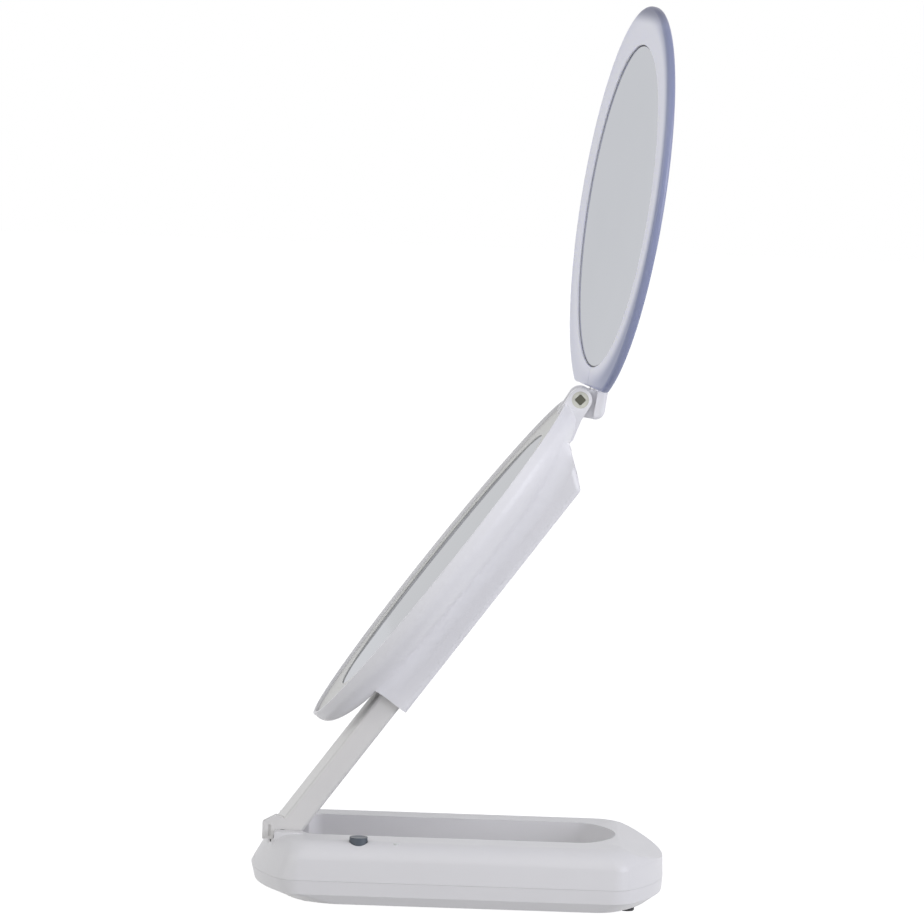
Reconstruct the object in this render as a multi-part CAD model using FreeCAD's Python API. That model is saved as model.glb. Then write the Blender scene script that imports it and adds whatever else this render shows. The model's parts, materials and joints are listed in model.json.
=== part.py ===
import FreeCAD, Part
import math
import os
from FreeCAD import Placement, Rotation, Vector

# Folding lighted makeup mirror, in millimetres.
# +Z is up, +X runs along the base from its hinge end, +Y points away from the button side.
# The origin is on the table, under the middle of the base.

# Shared clearances and fasteners
overrun = 1.0
running_gap = 0.05
sliding_gap = 0.2
moulding_gap = 0.3
screw_head_radius = 2.6
screw_head_height = 1.8
screw_shank_radius = 1.2
small_head_radius = 1.6
small_head_height = 1.0
small_shank_radius = 0.8
small_screw_length = 5.0

# Base shells
base_length = 190.0
base_width = 105.0
base_height = 28.3
foot_height = 2.0
foot_radius = 3.4
foot_recess = 0.8
left_foot_inset = 35.0
right_foot_inset = 17.0
foot_side_inset = 24.5
shell_wall = 2.2
parting_rise = 10.8
parting_gap = 0.2
tongue_rise = 2.0
tongue_wall = 1.0
parting_left_radius = 90.0
parting_right_radius = 80.0
parting_corner_radius = 12.0
edge_left_radius = 104.0
edge_right_radius = 80.0
edge_corner_radius = 9.0
side_draft = 0.6
left_draft = 5.0
right_draft = 0.5
crown_drop = 8.5
crown_radius = 10.4
crown_steps = 4
slope_runs = 3
crown_end_share = 1.2
right_slope_reach = 20.4
crown_corner_share = 0.4
bottom_inset = 3.5
bottom_right_inset = 6.5
bottom_left_inset = 13.0
bottom_left_radius = 90.0
bottom_right_radius = 70.0
bottom_left_corner = 26.0
bottom_right_corner = 14.0
shoulder_rise = 4.5
shoulder_inset = 0.5
shoulder_left_inset = 1.5

# Open well of the base
well_left_wall = 15.5
well_right_wall = 22.5
bar_width = 24.3
well_end_radius = 36.0
well_corner_radius = 8.0

# Posts and screws between the shells
post_radius = 3.4
boss_radius = 4.2
boss_rise = 6.0
head_sink = 0.6
base_screw_length = 14.0
left_post_inset = 29.0
left_post_side_inset = 12.5
right_post_inset = 19.0
right_post_side_inset = 32.5
right_post_drop = 0.7

# Battery bays, doors and cells
bay_side_inset = 13.0
bay_half_width = 5.7
bay_ledge = 1.1
bay_pad_rise = 4.0
bay_pad_margin = 3.0
bay_pad_side = 2.0
cell_radius = 5.25
cell_length = 43.5
cell_nub_radius = 1.9
cell_nub_length = 1.0
cell_start_inset = 69.0
cell_rise = 10.2
cells_in_row = 2
contact_thickness = 0.4
contact_half_width = 4.5
contact_height = 10.0
contact_spring_length = 3.8
contact_spring_wide = 3.6
contact_spring_narrow = 1.8
door_thickness = 1.5
door_overlap = 2.5
door_travel = 8.0
door_rib_count = 5
door_rib_pitch = 2.0
door_rib_width = 0.8
door_rib_depth = 0.4
door_rib_half_length = 4.0

# Push button, its switch and the indicator
button_inset = 50.0
button_side_inset = 9.5
button_radius = 4.1
button_proud = 1.8
button_dish = 0.3
button_travel = 1.5
button_flange_radius = 5.4
button_flange_height = 1.4
button_play = 0.3
button_seat_drop = 1.9
switch_half_width = 3.0
switch_height = 2.6
plunger_radius = 1.75
plunger_height = 1.5
switch_slack = 0.1
board_thickness = 1.6
board_half_length = 13.0
board_half_width = 6.0
board_post_radius = 2.4
board_post_offset = 9.5
lens_radius = 1.1
lens_length = 4.0
lens_inset = 67.0
lens_side_inset = 7.5
lens_proud = 0.2
lens_hole_depth = 6.0

# Arm hinge
hinge_inset = 14.8
hinge_rise = 25.0
hinge_pin_radius = 2.0
hinge_washer_radius = 4.2
hinge_washer_thickness = 0.5
cheek_thickness = 6.0
cheek_front = 4.4
cheek_lean = 1.0
cheek_flat = 8.2
cheek_back = 15.0
cheek_top = 29.0
cheek_foot_drop = 1.5
pin_cover = 2.0
platform_rise = 24.2
trough_gap = 0.6

# Arm
arm_angle = 53.9
arm_width = 48.0
arm_thickness = 10.6
arm_length = 145.0
arm_edge_round = 1.6
arm_wall = 2.4
arm_pocket_start = 12.0
arm_pocket_end_wall = 8.0
arm_cover_thickness = 1.6
arm_cover_lap = 1.2
arm_screw_count = 3
heel_front = 9.3
heel_low = -0.4
heel_high = 7.4
heel_shoulder_x = -3.4
heel_shoulder_z = 10.6
heel_root_x = 5.0
heel_root_z = 8.0
heel_width = 5.0
heel_groove_width = 1.2
heel_groove_depth = 0.7
heel_groove_x = -6.6
pad_length = 18.0
pad_height = 5.0
pad_thickness = 1.4
pad_proud = 0.25
pad_setback = 4.0

# Sleeve on the lower panel
sleeve_start = 80.5
sleeve_back_setback = 26.85
sleeve_front_setback = 13.45
sleeve_wall = 2.2
sleeve_back_wall = 3.2
sleeve_play = 0.3
sleeve_bevel = 2.6
sleeve_top = 14.0
plug_setback = 29.45
sleeve_screw_spread = 100.0
sleeve_screw_gauge = 30.0

# Lower mirror panel
bowl_centre = 143.85
bowl_half_length = 92.6
bowl_half_width = 63.0
rim_rise = 20.5
dish_lean = 0.8
dish_roll = 1.4
rim_height = 3.5
bowl_depth = 12.0
saddle_drop = 9.0
bowl_turn_in = 33.0
bowl_wall = 2.0
bowl_steps = 5
lip_wall = 1.4
lip_recess = 1.5
bezel_ledge = 2.4
bezel_thickness = 2.7
mirror_thickness = 2.0
mirror_sink = 0.5
bezel_end_width = 18.2
bezel_side_width = 7.1
tray_thickness = 1.6
tray_lap = 4.0
bowl_stud_radius = 3.0

# Tilt hinge between the panels
tilt_reach = 4.65
tilt_rise = 15.95
ear_radius = 5.4
ear_inner = 5.0
ear_outer = 9.5
ear_root_setback = 24.95
ear_root_rise = 9.4
ear_heel_setback = 11.95
ear_heel_rise = 7.2
ear_knee_setback = 2.45
ear_knee_rise = 9.8
axle_radius = 2.4
axle_head_radius = 3.9
axle_head_height = 0.8
axle_head_sink = 0.5
axle_socket = 3.9
axle_socket_depth = 2.4
knuckle_radius = 4.7
notch_radius = 9.8
tilt_washer_radius = 4.2
tilt_washer_thickness = 0.3

# Neck and swivel
ring_angle = 82.65
swivel_angle = 14.8
swivel_offset = 5.9
neck_low = 8.0
neck_high = 5.0
neck_back = 12.0
neck_half_width = 8.5
neck_front = 7.2
neck_toe = 2.3
neck_heel_round = 4.4
neck_side_round = 2.2
shaft_radius = 1.5
bush_wall = 0.7
shaft_low = 8.0
collar_radius = 2.4
clip_radius = 3.4
clip_height = 0.8
clip_pocket_depth = 2.0
clip_pocket_radius = 3.9

# Upper light ring
ring_flat = 6.0
ring_top = 181.7
ring_half_length = 91.2
ring_width = 122.0
ring_thickness = 4.0
ring_forward = 1.8
ring_wall = 1.2
ring_edge_round = 1.6
ring_corner_round = 2.2
upper_mirror_low = 15.3
upper_mirror_length = 148.4
upper_mirror_width = 99.0
upper_mirror_thickness = 1.6
upper_mirror_sink = 0.8
guide_width = 3.0
led_board_thickness = 0.6
led_board_play = 0.2
led_count = 24
led_spread = 270.0
led_start = 20.0
led_length = 3.5
led_width = 1.6
led_height = 0.8
seam_width = 0.4
seam_depth = 0.5
shaft_grip = 7.5
ring_screw_low_x = 11.0
ring_screw_low_y = 7.0
ring_screw_high_x = 167.0
ring_screw_high_y = 16.0
ring_screw_sink = 0.2
ring_screw_length = 2.2


# Shape helpers

def box(x0, x1, y0, y1, z0, z1):
    """A block between two corners."""
    return Part.makeBox(x1 - x0, y1 - y0, z1 - z0, Vector(x0, y0, z0))


def rod(radius, start, end):
    """A round bar from one point to another."""
    along = end - start
    return Part.makeCylinder(radius, along.Length, start, along)


def prism_across(points, y0, y1):
    """A profile drawn in X and Z, carried from y0 to y1."""
    corners = [Vector(x, y0, z) for x, z in points]
    face = Part.Face(Part.makePolygon(corners + corners[:1]))
    return face.extrude(Vector(0, y1 - y0, 0))


def oval_plate(centre_x, half_length, half_width, z0, z1):
    """An elliptical plate lying in X and Y."""
    edge = Part.Ellipse(Vector(centre_x, 0, z0), half_length, half_width).toShape()
    return Part.Face(Part.Wire([edge])).extrude(Vector(0, 0, z1 - z0))


def oval_wire(centre_x, half_length, half_width, z):
    """An elliptical outline at one height."""
    return Part.Wire([Part.Ellipse(Vector(centre_x, 0, z), half_length, half_width).toShape()])


def bowed_end(tip, half_width, end_radius, corner_radius):
    """Places on one bowed end: corner start, corner middle, corner end, all on the +Y side."""
    centre = tip - end_radius
    reach = end_radius - corner_radius
    side = half_width - corner_radius
    corner_x = centre + math.sqrt(reach ** 2 - side ** 2)
    turn = math.atan2(side, corner_x - centre)
    half_turn = (math.pi / 2 + turn) / 2
    middle = (corner_x + corner_radius * math.cos(half_turn), side + corner_radius * math.sin(half_turn))
    meet = (centre + end_radius * math.cos(turn), end_radius * math.sin(turn))
    return (corner_x, half_width), middle, meet


def bowed_wire(half_width, right, left, z):
    """A long outline with straight sides, rounded corners and bowed ends, at one height.

    Each end gives its tip's distance from the middle, its bow's radius and its corners' radius.
    """
    edges = []
    starts = []
    for along, shape in ((1, right), (-1, left)):
        tip = shape[0]
        begin, middle, meet = bowed_end(tip, half_width, shape[1], shape[2])

        def place(point, across):
            return Vector(along * point[0], along * across * point[1], z)

        edges.append(Part.Arc(place(begin, -1), place(middle, -1), place(meet, -1)).toShape())
        edges.append(Part.Arc(place(meet, -1), Vector(along * tip, 0, z), place(meet, 1)).toShape())
        edges.append(Part.Arc(place(meet, 1), place(middle, 1), place(begin, 1)).toShape())
        starts.append((place(begin, -1), place(begin, 1)))
    first = Part.LineSegment(starts[0][1], starts[1][0]).toShape()
    second = Part.LineSegment(starts[1][1], starts[0][0]).toShape()
    return Part.Wire(edges[:3] + [first] + edges[3:] + [second])


def fused(shapes):
    """One solid out of several that meet."""
    whole = shapes[0].multiFuse(shapes[1:]) if len(shapes) > 1 else shapes[0]
    return whole.removeSplitter()


def grouped(shapes):
    """Separate solids kept together in one node."""
    return Part.makeCompound(shapes)


def mirrored(shape):
    """The same shape on the other side of the XZ plane."""
    return shape.mirror(Vector(0, 0, 0), Vector(0, 1, 0))


def pan_screw(head_radius, head_height, shank_radius, length):
    """A screw that points along +Z, with its head's seat at zero and a cross recess."""
    head = rod(head_radius, Vector(0, 0, -head_height), Vector(0, 0, 0))
    shank = rod(shank_radius, Vector(0, 0, 0), Vector(0, 0, length))
    slot_length = head_radius / 2
    slot_width = head_radius / 6
    slot_depth = head_height / 2
    low = -head_height
    cross = box(-slot_length, slot_length, -slot_width, slot_width, low, low + slot_depth)
    bar = box(-slot_width, slot_width, -slot_length, slot_length, low, low + slot_depth)
    return fused([head, shank]).cut(cross.fuse(bar))


# Frames of the arm, the neck and the light ring at rest
base_bottom = foot_height
ridge = base_bottom + base_height
hinge_z = base_bottom + hinge_rise
half_length = base_length / 2
half_width = base_width / 2
hinge_x = hinge_inset - half_length
bowl_end = bowl_centre + bowl_half_length
tilt_x = bowl_end + tilt_reach
arm_place = Placement(Vector(hinge_x, 0, hinge_z), Rotation(Vector(0, 1, 0), -arm_angle))
tilt_point = arm_place.multVec(Vector(tilt_x, 0, tilt_rise))
neck_place = Placement(tilt_point, Rotation(Vector(0, 1, 0), -ring_angle))
swivel_turn = Placement(
    Vector(0, 0, 0), Rotation(Vector(1, 0, 0), swivel_angle), Vector(0, 0, -swivel_offset)
)
ring_place = neck_place.multiply(swivel_turn)
at_rest = Placement()


# Base

parting = base_bottom + parting_rise
edge_z = ridge - crown_drop
floor_top = base_bottom + shell_wall
left_foot_x = left_foot_inset - half_length
right_foot_x = half_length - right_foot_inset
foot_y = half_width - foot_side_inset
bay_y = half_width - bay_side_inset
button_x = button_inset - half_length
button_y = button_side_inset - half_width
lens_x = lens_inset - half_length
lens_y = lens_side_inset - half_width
cell_start_x = cell_start_inset - half_length
well_left = half_length - well_left_wall
well_right = half_length - well_right_wall
well_half_width = half_width - bar_width
crown_turn = math.acos(1 - crown_drop / crown_radius)


def crown_wires(inset):
    """Outlines from the outer edge up to the flat top, drawn in by a wall."""
    wires = []
    for step in range(crown_steps + 1):
        turn = crown_turn * (1 - step / crown_steps)
        rounding = crown_radius * (math.sin(crown_turn) - math.sin(turn))
        fall = crown_radius * (1 - math.cos(turn))
        corner = edge_corner_radius + crown_corner_share * rounding - inset
        at_right = crown_end_share * rounding + inset
        at_left = rounding + inset
        right = (half_length - right_draft - at_right, edge_right_radius - at_right, corner)
        left = (half_length - left_draft - at_left, edge_left_radius - at_left, corner)
        height = ridge - fall - inset
        wires.append(bowed_wire(half_width - side_draft - at_left, right, left, height))
    return wires


def side_wire(inset, z):
    """The widest outline, at the parting line."""
    corner = parting_corner_radius - inset
    right = (half_length - inset, parting_right_radius - inset, corner)
    left = (half_length - inset, parting_left_radius - inset, corner)
    return bowed_wire(half_width - inset, right, left, z)


def right_slope(inset):
    """What the flat slope of the right end takes off the crown, drawn in by a wall."""
    slope_length = math.hypot(right_slope_reach, crown_drop)
    foot_x = half_length - right_draft - inset * crown_drop / slope_length + right_slope_reach
    foot_z = edge_z - inset * right_slope_reach / slope_length - crown_drop
    top_x = foot_x - slope_runs * right_slope_reach
    top_z = foot_z + slope_runs * crown_drop
    return prism_across([(foot_x, foot_z), (top_x, top_z), (foot_x, top_z)], -half_width, half_width)


def upper_body(inset, start):
    """The crowned upper half as a solid, drawn in by a wall."""
    crown = crown_wires(inset)
    side = Part.makeLoft([side_wire(inset, start), crown[0]], True, True)
    return side.fuse(Part.makeLoft(crown, True, False)).cut(right_slope(inset))


def shoulder_wire(inset):
    """The outline where the sides turn under."""
    drawn_in = shoulder_inset + inset
    left_in = shoulder_left_inset + inset
    corner = parting_corner_radius - inset
    right = (half_length - drawn_in, parting_right_radius - drawn_in, corner)
    left = (half_length - left_in, parting_left_radius - left_in, corner)
    return bowed_wire(half_width - drawn_in, right, left, base_bottom + shoulder_rise + inset)


def bottom_wire(inset, z):
    """The outline of the flat bottom."""
    right = (
        half_length - bottom_right_inset - inset, bottom_right_radius - inset, bottom_right_corner - inset
    )
    left = (half_length - bottom_left_inset - inset, bottom_left_radius - inset, bottom_left_corner - inset)
    return bowed_wire(half_width - bottom_inset - inset, right, left, z)


def lower_body(inset, floor, top):
    """The lower half as a solid, drawn in by a wall."""
    return Part.makeLoft([side_wire(inset, top), shoulder_wire(inset), bottom_wire(inset, floor)], True, True)


def well_prism(grow, z0, z1):
    """The open well, grown by a wall."""
    right = (well_right + grow, well_end_radius + grow, well_corner_radius + grow)
    left = (well_left + grow, well_end_radius + grow, well_corner_radius + grow)
    wire = bowed_wire(well_half_width + grow, right, left, z0)
    return Part.Face(wire).extrude(Vector(0, 0, z1 - z0))


arm_half_width = arm_width / 2
foot_side = arm_half_width + hinge_washer_thickness + 2 * running_gap
barrel_radius = arm_thickness / 2
platform = base_bottom + platform_rise
above_all = ridge + base_height


def hinge_notch(grow):
    """Room for the arm's foot and heels at the hinge end of the base."""
    axis_start = Vector(hinge_x, -foot_side - grow, hinge_z)
    axis_end = Vector(hinge_x, foot_side + grow, hinge_z)
    trough = rod(barrel_radius + trough_gap + grow, axis_start, axis_end)
    well_side = well_left - well_end_radius
    passage = box(hinge_x, -well_side, -foot_side - grow, foot_side + grow, floor_top, above_all)
    heel_bed = box(
        hinge_x - heel_front - trough_gap - grow, hinge_x,
        -foot_side - grow, foot_side + grow,
        platform - grow, above_all,
    )
    return trough.fuse(passage).fuse(heel_bed)


post_places = [
    (along, side * across)
    for along, across in (
        (left_post_inset - half_length, half_width - left_post_side_inset),
        (half_length - right_post_inset, half_width - right_post_side_inset),
    )
    for side in (-1, 1)
]
boss_top = floor_top + boss_rise - shell_wall
ceiling = ridge - shell_wall
button_seat = ceiling - button_seat_drop


def make_base_upper_shell():
    outer = upper_body(0, parting + parting_gap)
    hollow = upper_body(shell_wall, parting - overrun)
    kept = well_prism(shell_wall, parting - overrun, above_all).fuse(hinge_notch(shell_wall))
    shell = outer.cut(hollow.cut(kept))
    skirt = well_prism(shell_wall, floor_top, ridge - shell_wall)
    rebate = side_wire(shell_wall - tongue_wall, parting - overrun)
    rebate_depth = parting_gap + tongue_rise + sliding_gap + overrun
    cut_step = Part.Face(rebate).extrude(Vector(0, 0, rebate_depth))
    shell = shell.cut(cut_step.cut(well_prism(shell_wall, 0, above_all)))
    cheek_outline = [
        (hinge_x, floor_top),
        (hinge_x - cheek_front, parting + parting_gap),
        (hinge_x - cheek_front, edge_z),
        (hinge_x - cheek_front + cheek_lean, base_bottom + cheek_top),
        (hinge_x + cheek_flat, base_bottom + cheek_top),
        (hinge_x + cheek_back, ridge - cheek_foot_drop),
        (hinge_x + cheek_back, floor_top),
    ]
    cheek_side = foot_side + cheek_thickness
    cheeks = prism_across(cheek_outline, -cheek_side, cheek_side)
    posts = []
    for x, y in post_places:
        top = ceiling if x < 0 else ceiling - right_post_drop
        posts.append(rod(post_radius, Vector(x, y, boss_top), Vector(x, y, top)))
    lower_wall = lower_body(0, base_bottom, parting).cut(
        lower_body(shell_wall + sliding_gap, floor_top, parting + overrun)
    )
    shell = fused([shell, skirt.fuse(cheeks).cut(lower_wall)] + posts)
    shell = shell.cut(well_prism(0, 0, above_all)).cut(hinge_notch(0))
    pin_reach = foot_side + cheek_thickness - pin_cover
    shell = shell.cut(rod(
        hinge_pin_radius, Vector(hinge_x, -pin_reach, hinge_z), Vector(hinge_x, pin_reach, hinge_z)
    ))
    for x, y in post_places:
        pilot = rod(
            screw_shank_radius, Vector(x, y, boss_top), Vector(x, y, boss_top + base_screw_length)
        )
        shell = shell.cut(pilot)
    button_hole = rod(
        button_radius + button_play,
        Vector(button_x, button_y, button_seat - overrun), Vector(button_x, button_y, above_all),
    )
    flange_room = rod(
        button_flange_radius + button_play,
        Vector(button_x, button_y, edge_z - button_flange_height), Vector(button_x, button_y, button_seat),
    )
    lens_hole = rod(
        lens_radius, Vector(lens_x, lens_y, ridge - lens_hole_depth), Vector(lens_x, lens_y, above_all)
    )
    return shell.cut(button_hole).cut(flange_room).cut(lens_hole)


cells_length = cells_in_row * (cell_length + cell_nub_length)
cell_end_x = cell_start_x + cells_length
door_start = cell_start_x - door_overlap
door_end = cell_end_x + door_overlap
door_half_width = bay_half_width + bay_ledge
recess_depth = door_thickness + sliding_gap


def bay_parts(side):
    """The raised pad, the opening for the cells and the recess for the door of one bay."""
    y = side * bay_y
    pad_top = base_bottom + bay_pad_rise
    pad_half = door_half_width + bay_pad_side
    pad_start = door_start - door_travel - bay_pad_margin
    pad = box(pad_start, door_end + bay_pad_margin, y - pad_half, y + pad_half, base_bottom, pad_top)
    opening = box(
        cell_start_x, cell_end_x, y - bay_half_width, y + bay_half_width, 0, pad_top + overrun
    )
    recess = box(
        door_start - door_travel - sliding_gap, door_end + sliding_gap,
        y - door_half_width - sliding_gap, y + door_half_width + sliding_gap,
        0, base_bottom + recess_depth,
    )
    return pad, opening, recess


switch_top = button_seat - button_play - button_flange_height - button_travel - switch_slack
board_top = switch_top - plunger_height - switch_height
board_places = [(button_x - board_post_offset, button_y), (button_x + board_post_offset, button_y)]


def make_base_lower_shell():
    outer = lower_body(0, base_bottom, parting)
    hollow = lower_body(shell_wall, floor_top, parting + overrun)
    shell = outer.cut(hollow)
    tongue_z = parting + tongue_rise
    ring_outer = Part.Face(side_wire(shell_wall - tongue_wall + sliding_gap, parting - tongue_rise))
    ring_inner = Part.Face(side_wire(shell_wall + sliding_gap, parting - tongue_rise))
    tongue = ring_outer.cut(ring_inner).extrude(Vector(0, 0, tongue_z - parting + tongue_rise))
    bays = [bay_parts(side) for side in (1, -1)]
    pads = [pad.common(outer) for pad, opening, recess in bays]
    bosses = [rod(boss_radius, Vector(x, y, base_bottom), Vector(x, y, boss_top)) for x, y in post_places]
    board_posts = [
        rod(board_post_radius, Vector(x, y, base_bottom), Vector(x, y, board_top - board_thickness))
        for x, y in board_places
    ]
    shell = fused([shell, tongue] + pads + bosses + board_posts)
    head_seat = base_bottom + head_sink + screw_head_height
    for x, y in post_places:
        counterbore = rod(
            screw_head_radius + moulding_gap, Vector(x, y, 0), Vector(x, y, head_seat)
        )
        hole = rod(screw_shank_radius + moulding_gap, Vector(x, y, 0), Vector(x, y, boss_top + overrun))
        shell = shell.cut(counterbore).cut(hole)
    for x, y in board_places:
        low = board_top - small_screw_length
        shell = shell.cut(rod(small_shank_radius, Vector(x, y, low), Vector(x, y, board_top)))
    for pad, opening, recess in bays:
        shell = shell.cut(opening).cut(recess)
    for x in (left_foot_x, right_foot_x):
        for y in (-foot_y, foot_y):
            shell = shell.cut(rod(foot_radius, Vector(x, y, 0), Vector(x, y, base_bottom + foot_recess)))
    return shell


def make_base_feet():
    feet = []
    edge = foot_recess / 2
    for x in (left_foot_x, right_foot_x):
        for y in (-foot_y, foot_y):
            foot = rod(foot_radius, Vector(x, y, 0), Vector(x, y, base_bottom + foot_recess))
            rim = [e for e in foot.Edges if abs(e.BoundBox.ZMax) < edge and e.Length > foot_radius]
            feet.append(foot.makeChamfer(edge, rim[:1]))
    return grouped(feet)


def make_base_screws():
    screws = []
    seat = base_bottom + head_sink + screw_head_height
    length = boss_top + base_screw_length - seat
    for x, y in post_places:
        screw = pan_screw(screw_head_radius, screw_head_height, screw_shank_radius, length)
        screw.translate(Vector(x, y, seat))
        screws.append(screw)
    return grouped(screws)


def make_battery_cells():
    cells = []
    z = base_bottom + cell_rise
    pitch = cell_length + cell_nub_length
    for side in (1, -1):
        for index in range(cells_in_row):
            start = Vector(cell_start_x + index * pitch, side * bay_y, z)
            end = start + Vector(cell_length, 0, 0)
            nub = rod(cell_nub_radius, end, end + Vector(cell_nub_length, 0, 0))
            cells.append(fused([rod(cell_radius, start, end), nub]))
    return grouped(cells)


def make_battery_contacts():
    contacts = []
    low = base_bottom + bay_pad_rise
    z = base_bottom + cell_rise
    for side in (1, -1):
        y = side * bay_y
        spring_back = cell_start_x - contact_spring_length
        spring = Part.makeCone(
            contact_spring_wide, contact_spring_narrow, contact_spring_length,
            Vector(spring_back, y, z), Vector(1, 0, 0),
        )
        back_plate = box(
            spring_back - contact_thickness, spring_back,
            y - contact_half_width, y + contact_half_width, low, low + contact_height,
        )
        front_plate = box(
            cell_end_x, cell_end_x + contact_thickness,
            y - contact_half_width, y + contact_half_width, low, low + contact_height,
        )
        contacts += [fused([spring, back_plate]), front_plate]
    return grouped(contacts)


def make_battery_door(side):
    y = side * bay_y
    door = box(
        door_start, door_end, y - door_half_width, y + door_half_width,
        base_bottom, base_bottom + door_thickness,
    )
    for index in range(door_rib_count):
        x = door_start + door_overlap + index * door_rib_pitch
        groove = box(
            x, x + door_rib_width, y - door_rib_half_length, y + door_rib_half_length,
            0, base_bottom + door_rib_depth,
        )
        door = door.cut(groove)
    return door


def make_power_button():
    top = ridge + button_proud
    flange_top = button_seat - button_play
    flange = rod(
        button_flange_radius,
        Vector(button_x, button_y, flange_top - button_flange_height),
        Vector(button_x, button_y, flange_top),
    )
    stem = rod(button_radius, Vector(button_x, button_y, flange_top), Vector(button_x, button_y, top))
    dish_radius = (button_radius ** 2 / button_dish + button_dish) / 2
    dish = Part.makeSphere(dish_radius, Vector(button_x, button_y, top - button_dish + dish_radius))
    return fused([flange, stem]).cut(dish)


def make_switch_board():
    board = box(
        button_x - board_half_length, button_x + board_half_length,
        button_y - board_half_width, button_y + board_half_width,
        board_top - board_thickness, board_top,
    )
    for x, y in board_places:
        hole = rod(
            small_shank_radius + running_gap,
            Vector(x, y, board_top - board_thickness - overrun), Vector(x, y, board_top + overrun),
        )
        board = board.cut(hole)
    return board


def make_board_screws():
    screws = []
    for x, y in board_places:
        screw = pan_screw(small_head_radius, small_head_height, small_shank_radius, small_screw_length)
        screw.rotate(Vector(0, 0, 0), Vector(1, 0, 0), 180)
        screw.translate(Vector(x, y, board_top))
        screws.append(screw)
    return grouped(screws)


def make_tact_switch():
    body = box(
        button_x - switch_half_width, button_x + switch_half_width,
        button_y - switch_half_width, button_y + switch_half_width,
        board_top, board_top + switch_height,
    )
    plunger = rod(
        plunger_radius, Vector(button_x, button_y, board_top + switch_height),
        Vector(button_x, button_y, switch_top),
    )
    return fused([body, plunger])


def crown_height(y):
    """Height of the crown's surface over a long bar."""
    flat = half_width - side_draft - crown_radius * math.sin(crown_turn)
    beyond = max(abs(y) - flat, 0)
    return ridge - crown_radius + math.sqrt(crown_radius ** 2 - beyond ** 2)


def make_indicator_lens():
    top = crown_height(lens_y) + lens_proud
    return rod(lens_radius, Vector(lens_x, lens_y, top - lens_length), Vector(lens_x, lens_y, top))


def make_hinge_pin():
    reach = foot_side + cheek_thickness - pin_cover
    return rod(hinge_pin_radius, Vector(hinge_x, -reach, hinge_z), Vector(hinge_x, reach, hinge_z))


def make_hinge_washers():
    near = arm_half_width + running_gap
    start = Vector(hinge_x, near, hinge_z)
    end = Vector(hinge_x, near + hinge_washer_thickness, hinge_z)
    washer = rod(hinge_washer_radius, start, end).cut(rod(hinge_pin_radius, start, end))
    return grouped([washer, mirrored(washer)])


# Arm, drawn along X with its hinge at the origin

cover_half_width = arm_half_width - arm_wall + arm_cover_lap
cover_start = arm_pocket_start - arm_cover_lap
cover_end = arm_length - arm_pocket_end_wall + arm_cover_lap
pad_middle = arm_length - pad_setback - pad_length / 2
arm_screw_places = [
    cover_start + (index + 1 / 2) * (cover_end - cover_start) / arm_screw_count
    for index in range(arm_screw_count)
]


def heel_block():
    """The stop in front of the hinge on the button side, upright at rest, with a groove in its side."""
    outline = [
        (-heel_front, heel_low),
        (-heel_front, heel_high),
        (heel_shoulder_x, heel_shoulder_z),
        (heel_root_x, heel_root_z),
        (0, heel_low),
    ]
    block = prism_across(outline, -arm_half_width, heel_width - arm_half_width)
    groove_low = heel_low + heel_groove_width
    groove_high = heel_high - heel_groove_width
    groove = box(
        heel_groove_x, heel_groove_x + heel_groove_width,
        -arm_half_width, heel_groove_depth - arm_half_width, groove_low, groove_high,
    )
    block = block.cut(groove)
    block.rotate(Vector(0, 0, 0), Vector(0, 1, 0), arm_angle)
    return block


def make_arm_channel():
    half = arm_thickness / 2
    bar = box(0, arm_length, -arm_half_width, arm_half_width, -half, half)
    long_edges = [
        e for e in bar.Edges if e.BoundBox.XLength > arm_width and e.BoundBox.YLength < overrun
    ]
    bar = bar.makeFillet(arm_edge_round, long_edges)
    barrel = rod(half, Vector(0, -arm_half_width, 0), Vector(0, arm_half_width, 0))
    arm = fused([bar, barrel, heel_block()])
    pocket_side = arm_half_width - arm_wall
    pocket = box(
        arm_pocket_start, arm_length - arm_pocket_end_wall, -pocket_side, pocket_side,
        -half - overrun, half - arm_wall,
    )
    rabbet = box(
        cover_start, cover_end, -cover_half_width, cover_half_width,
        -half - overrun, -half + arm_cover_thickness,
    )
    bore_radius = hinge_pin_radius + running_gap
    bore = rod(
        bore_radius, Vector(0, -arm_half_width - overrun, 0), Vector(0, arm_half_width + overrun, 0)
    )
    arm = arm.cut(pocket).cut(rabbet).cut(bore)
    posts = []
    for x in arm_screw_places:
        base = Vector(x, 0, -half + arm_cover_thickness)
        top = Vector(x, 0, half - arm_wall)
        post = rod(board_post_radius, base, top)
        posts.append(post.cut(rod(small_shank_radius, base, base + Vector(0, 0, small_screw_length))))
    arm = fused([arm] + posts)
    for side in (1, -1):
        inner = side * (arm_half_width + pad_proud - pad_thickness)
        outer = side * (arm_half_width + overrun)
        seat = box(
            pad_middle - pad_length / 2, pad_middle + pad_length / 2,
            min(inner, outer), max(inner, outer), -pad_height / 2, pad_height / 2,
        )
        arm = arm.cut(seat)
    return arm


def make_arm_back_cover():
    half = arm_thickness / 2
    cover = box(
        cover_start, cover_end, -cover_half_width, cover_half_width,
        -half, -half + arm_cover_thickness,
    )
    for x in arm_screw_places:
        seat = Vector(x, 0, -half + small_head_height)
        cover = cover.cut(rod(small_head_radius, Vector(x, 0, -half - overrun), seat))
        cover = cover.cut(rod(small_shank_radius, seat, Vector(x, 0, half)))
    return cover


def make_arm_cover_screws():
    screws = []
    seat = -arm_thickness / 2 + small_head_height
    for x in arm_screw_places:
        screw = pan_screw(small_head_radius, small_head_height, small_shank_radius, small_screw_length)
        screw.translate(Vector(x, 0, seat))
        screws.append(screw)
    return grouped(screws)


def make_slide_pads():
    outer = arm_half_width + pad_proud
    pad = box(
        pad_middle - pad_length / 2, pad_middle + pad_length / 2,
        outer - pad_thickness, outer, -pad_height / 2, pad_height / 2,
    )
    return grouped([pad, mirrored(pad)])


# Lower mirror panel, drawn in the arm's frame

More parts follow.
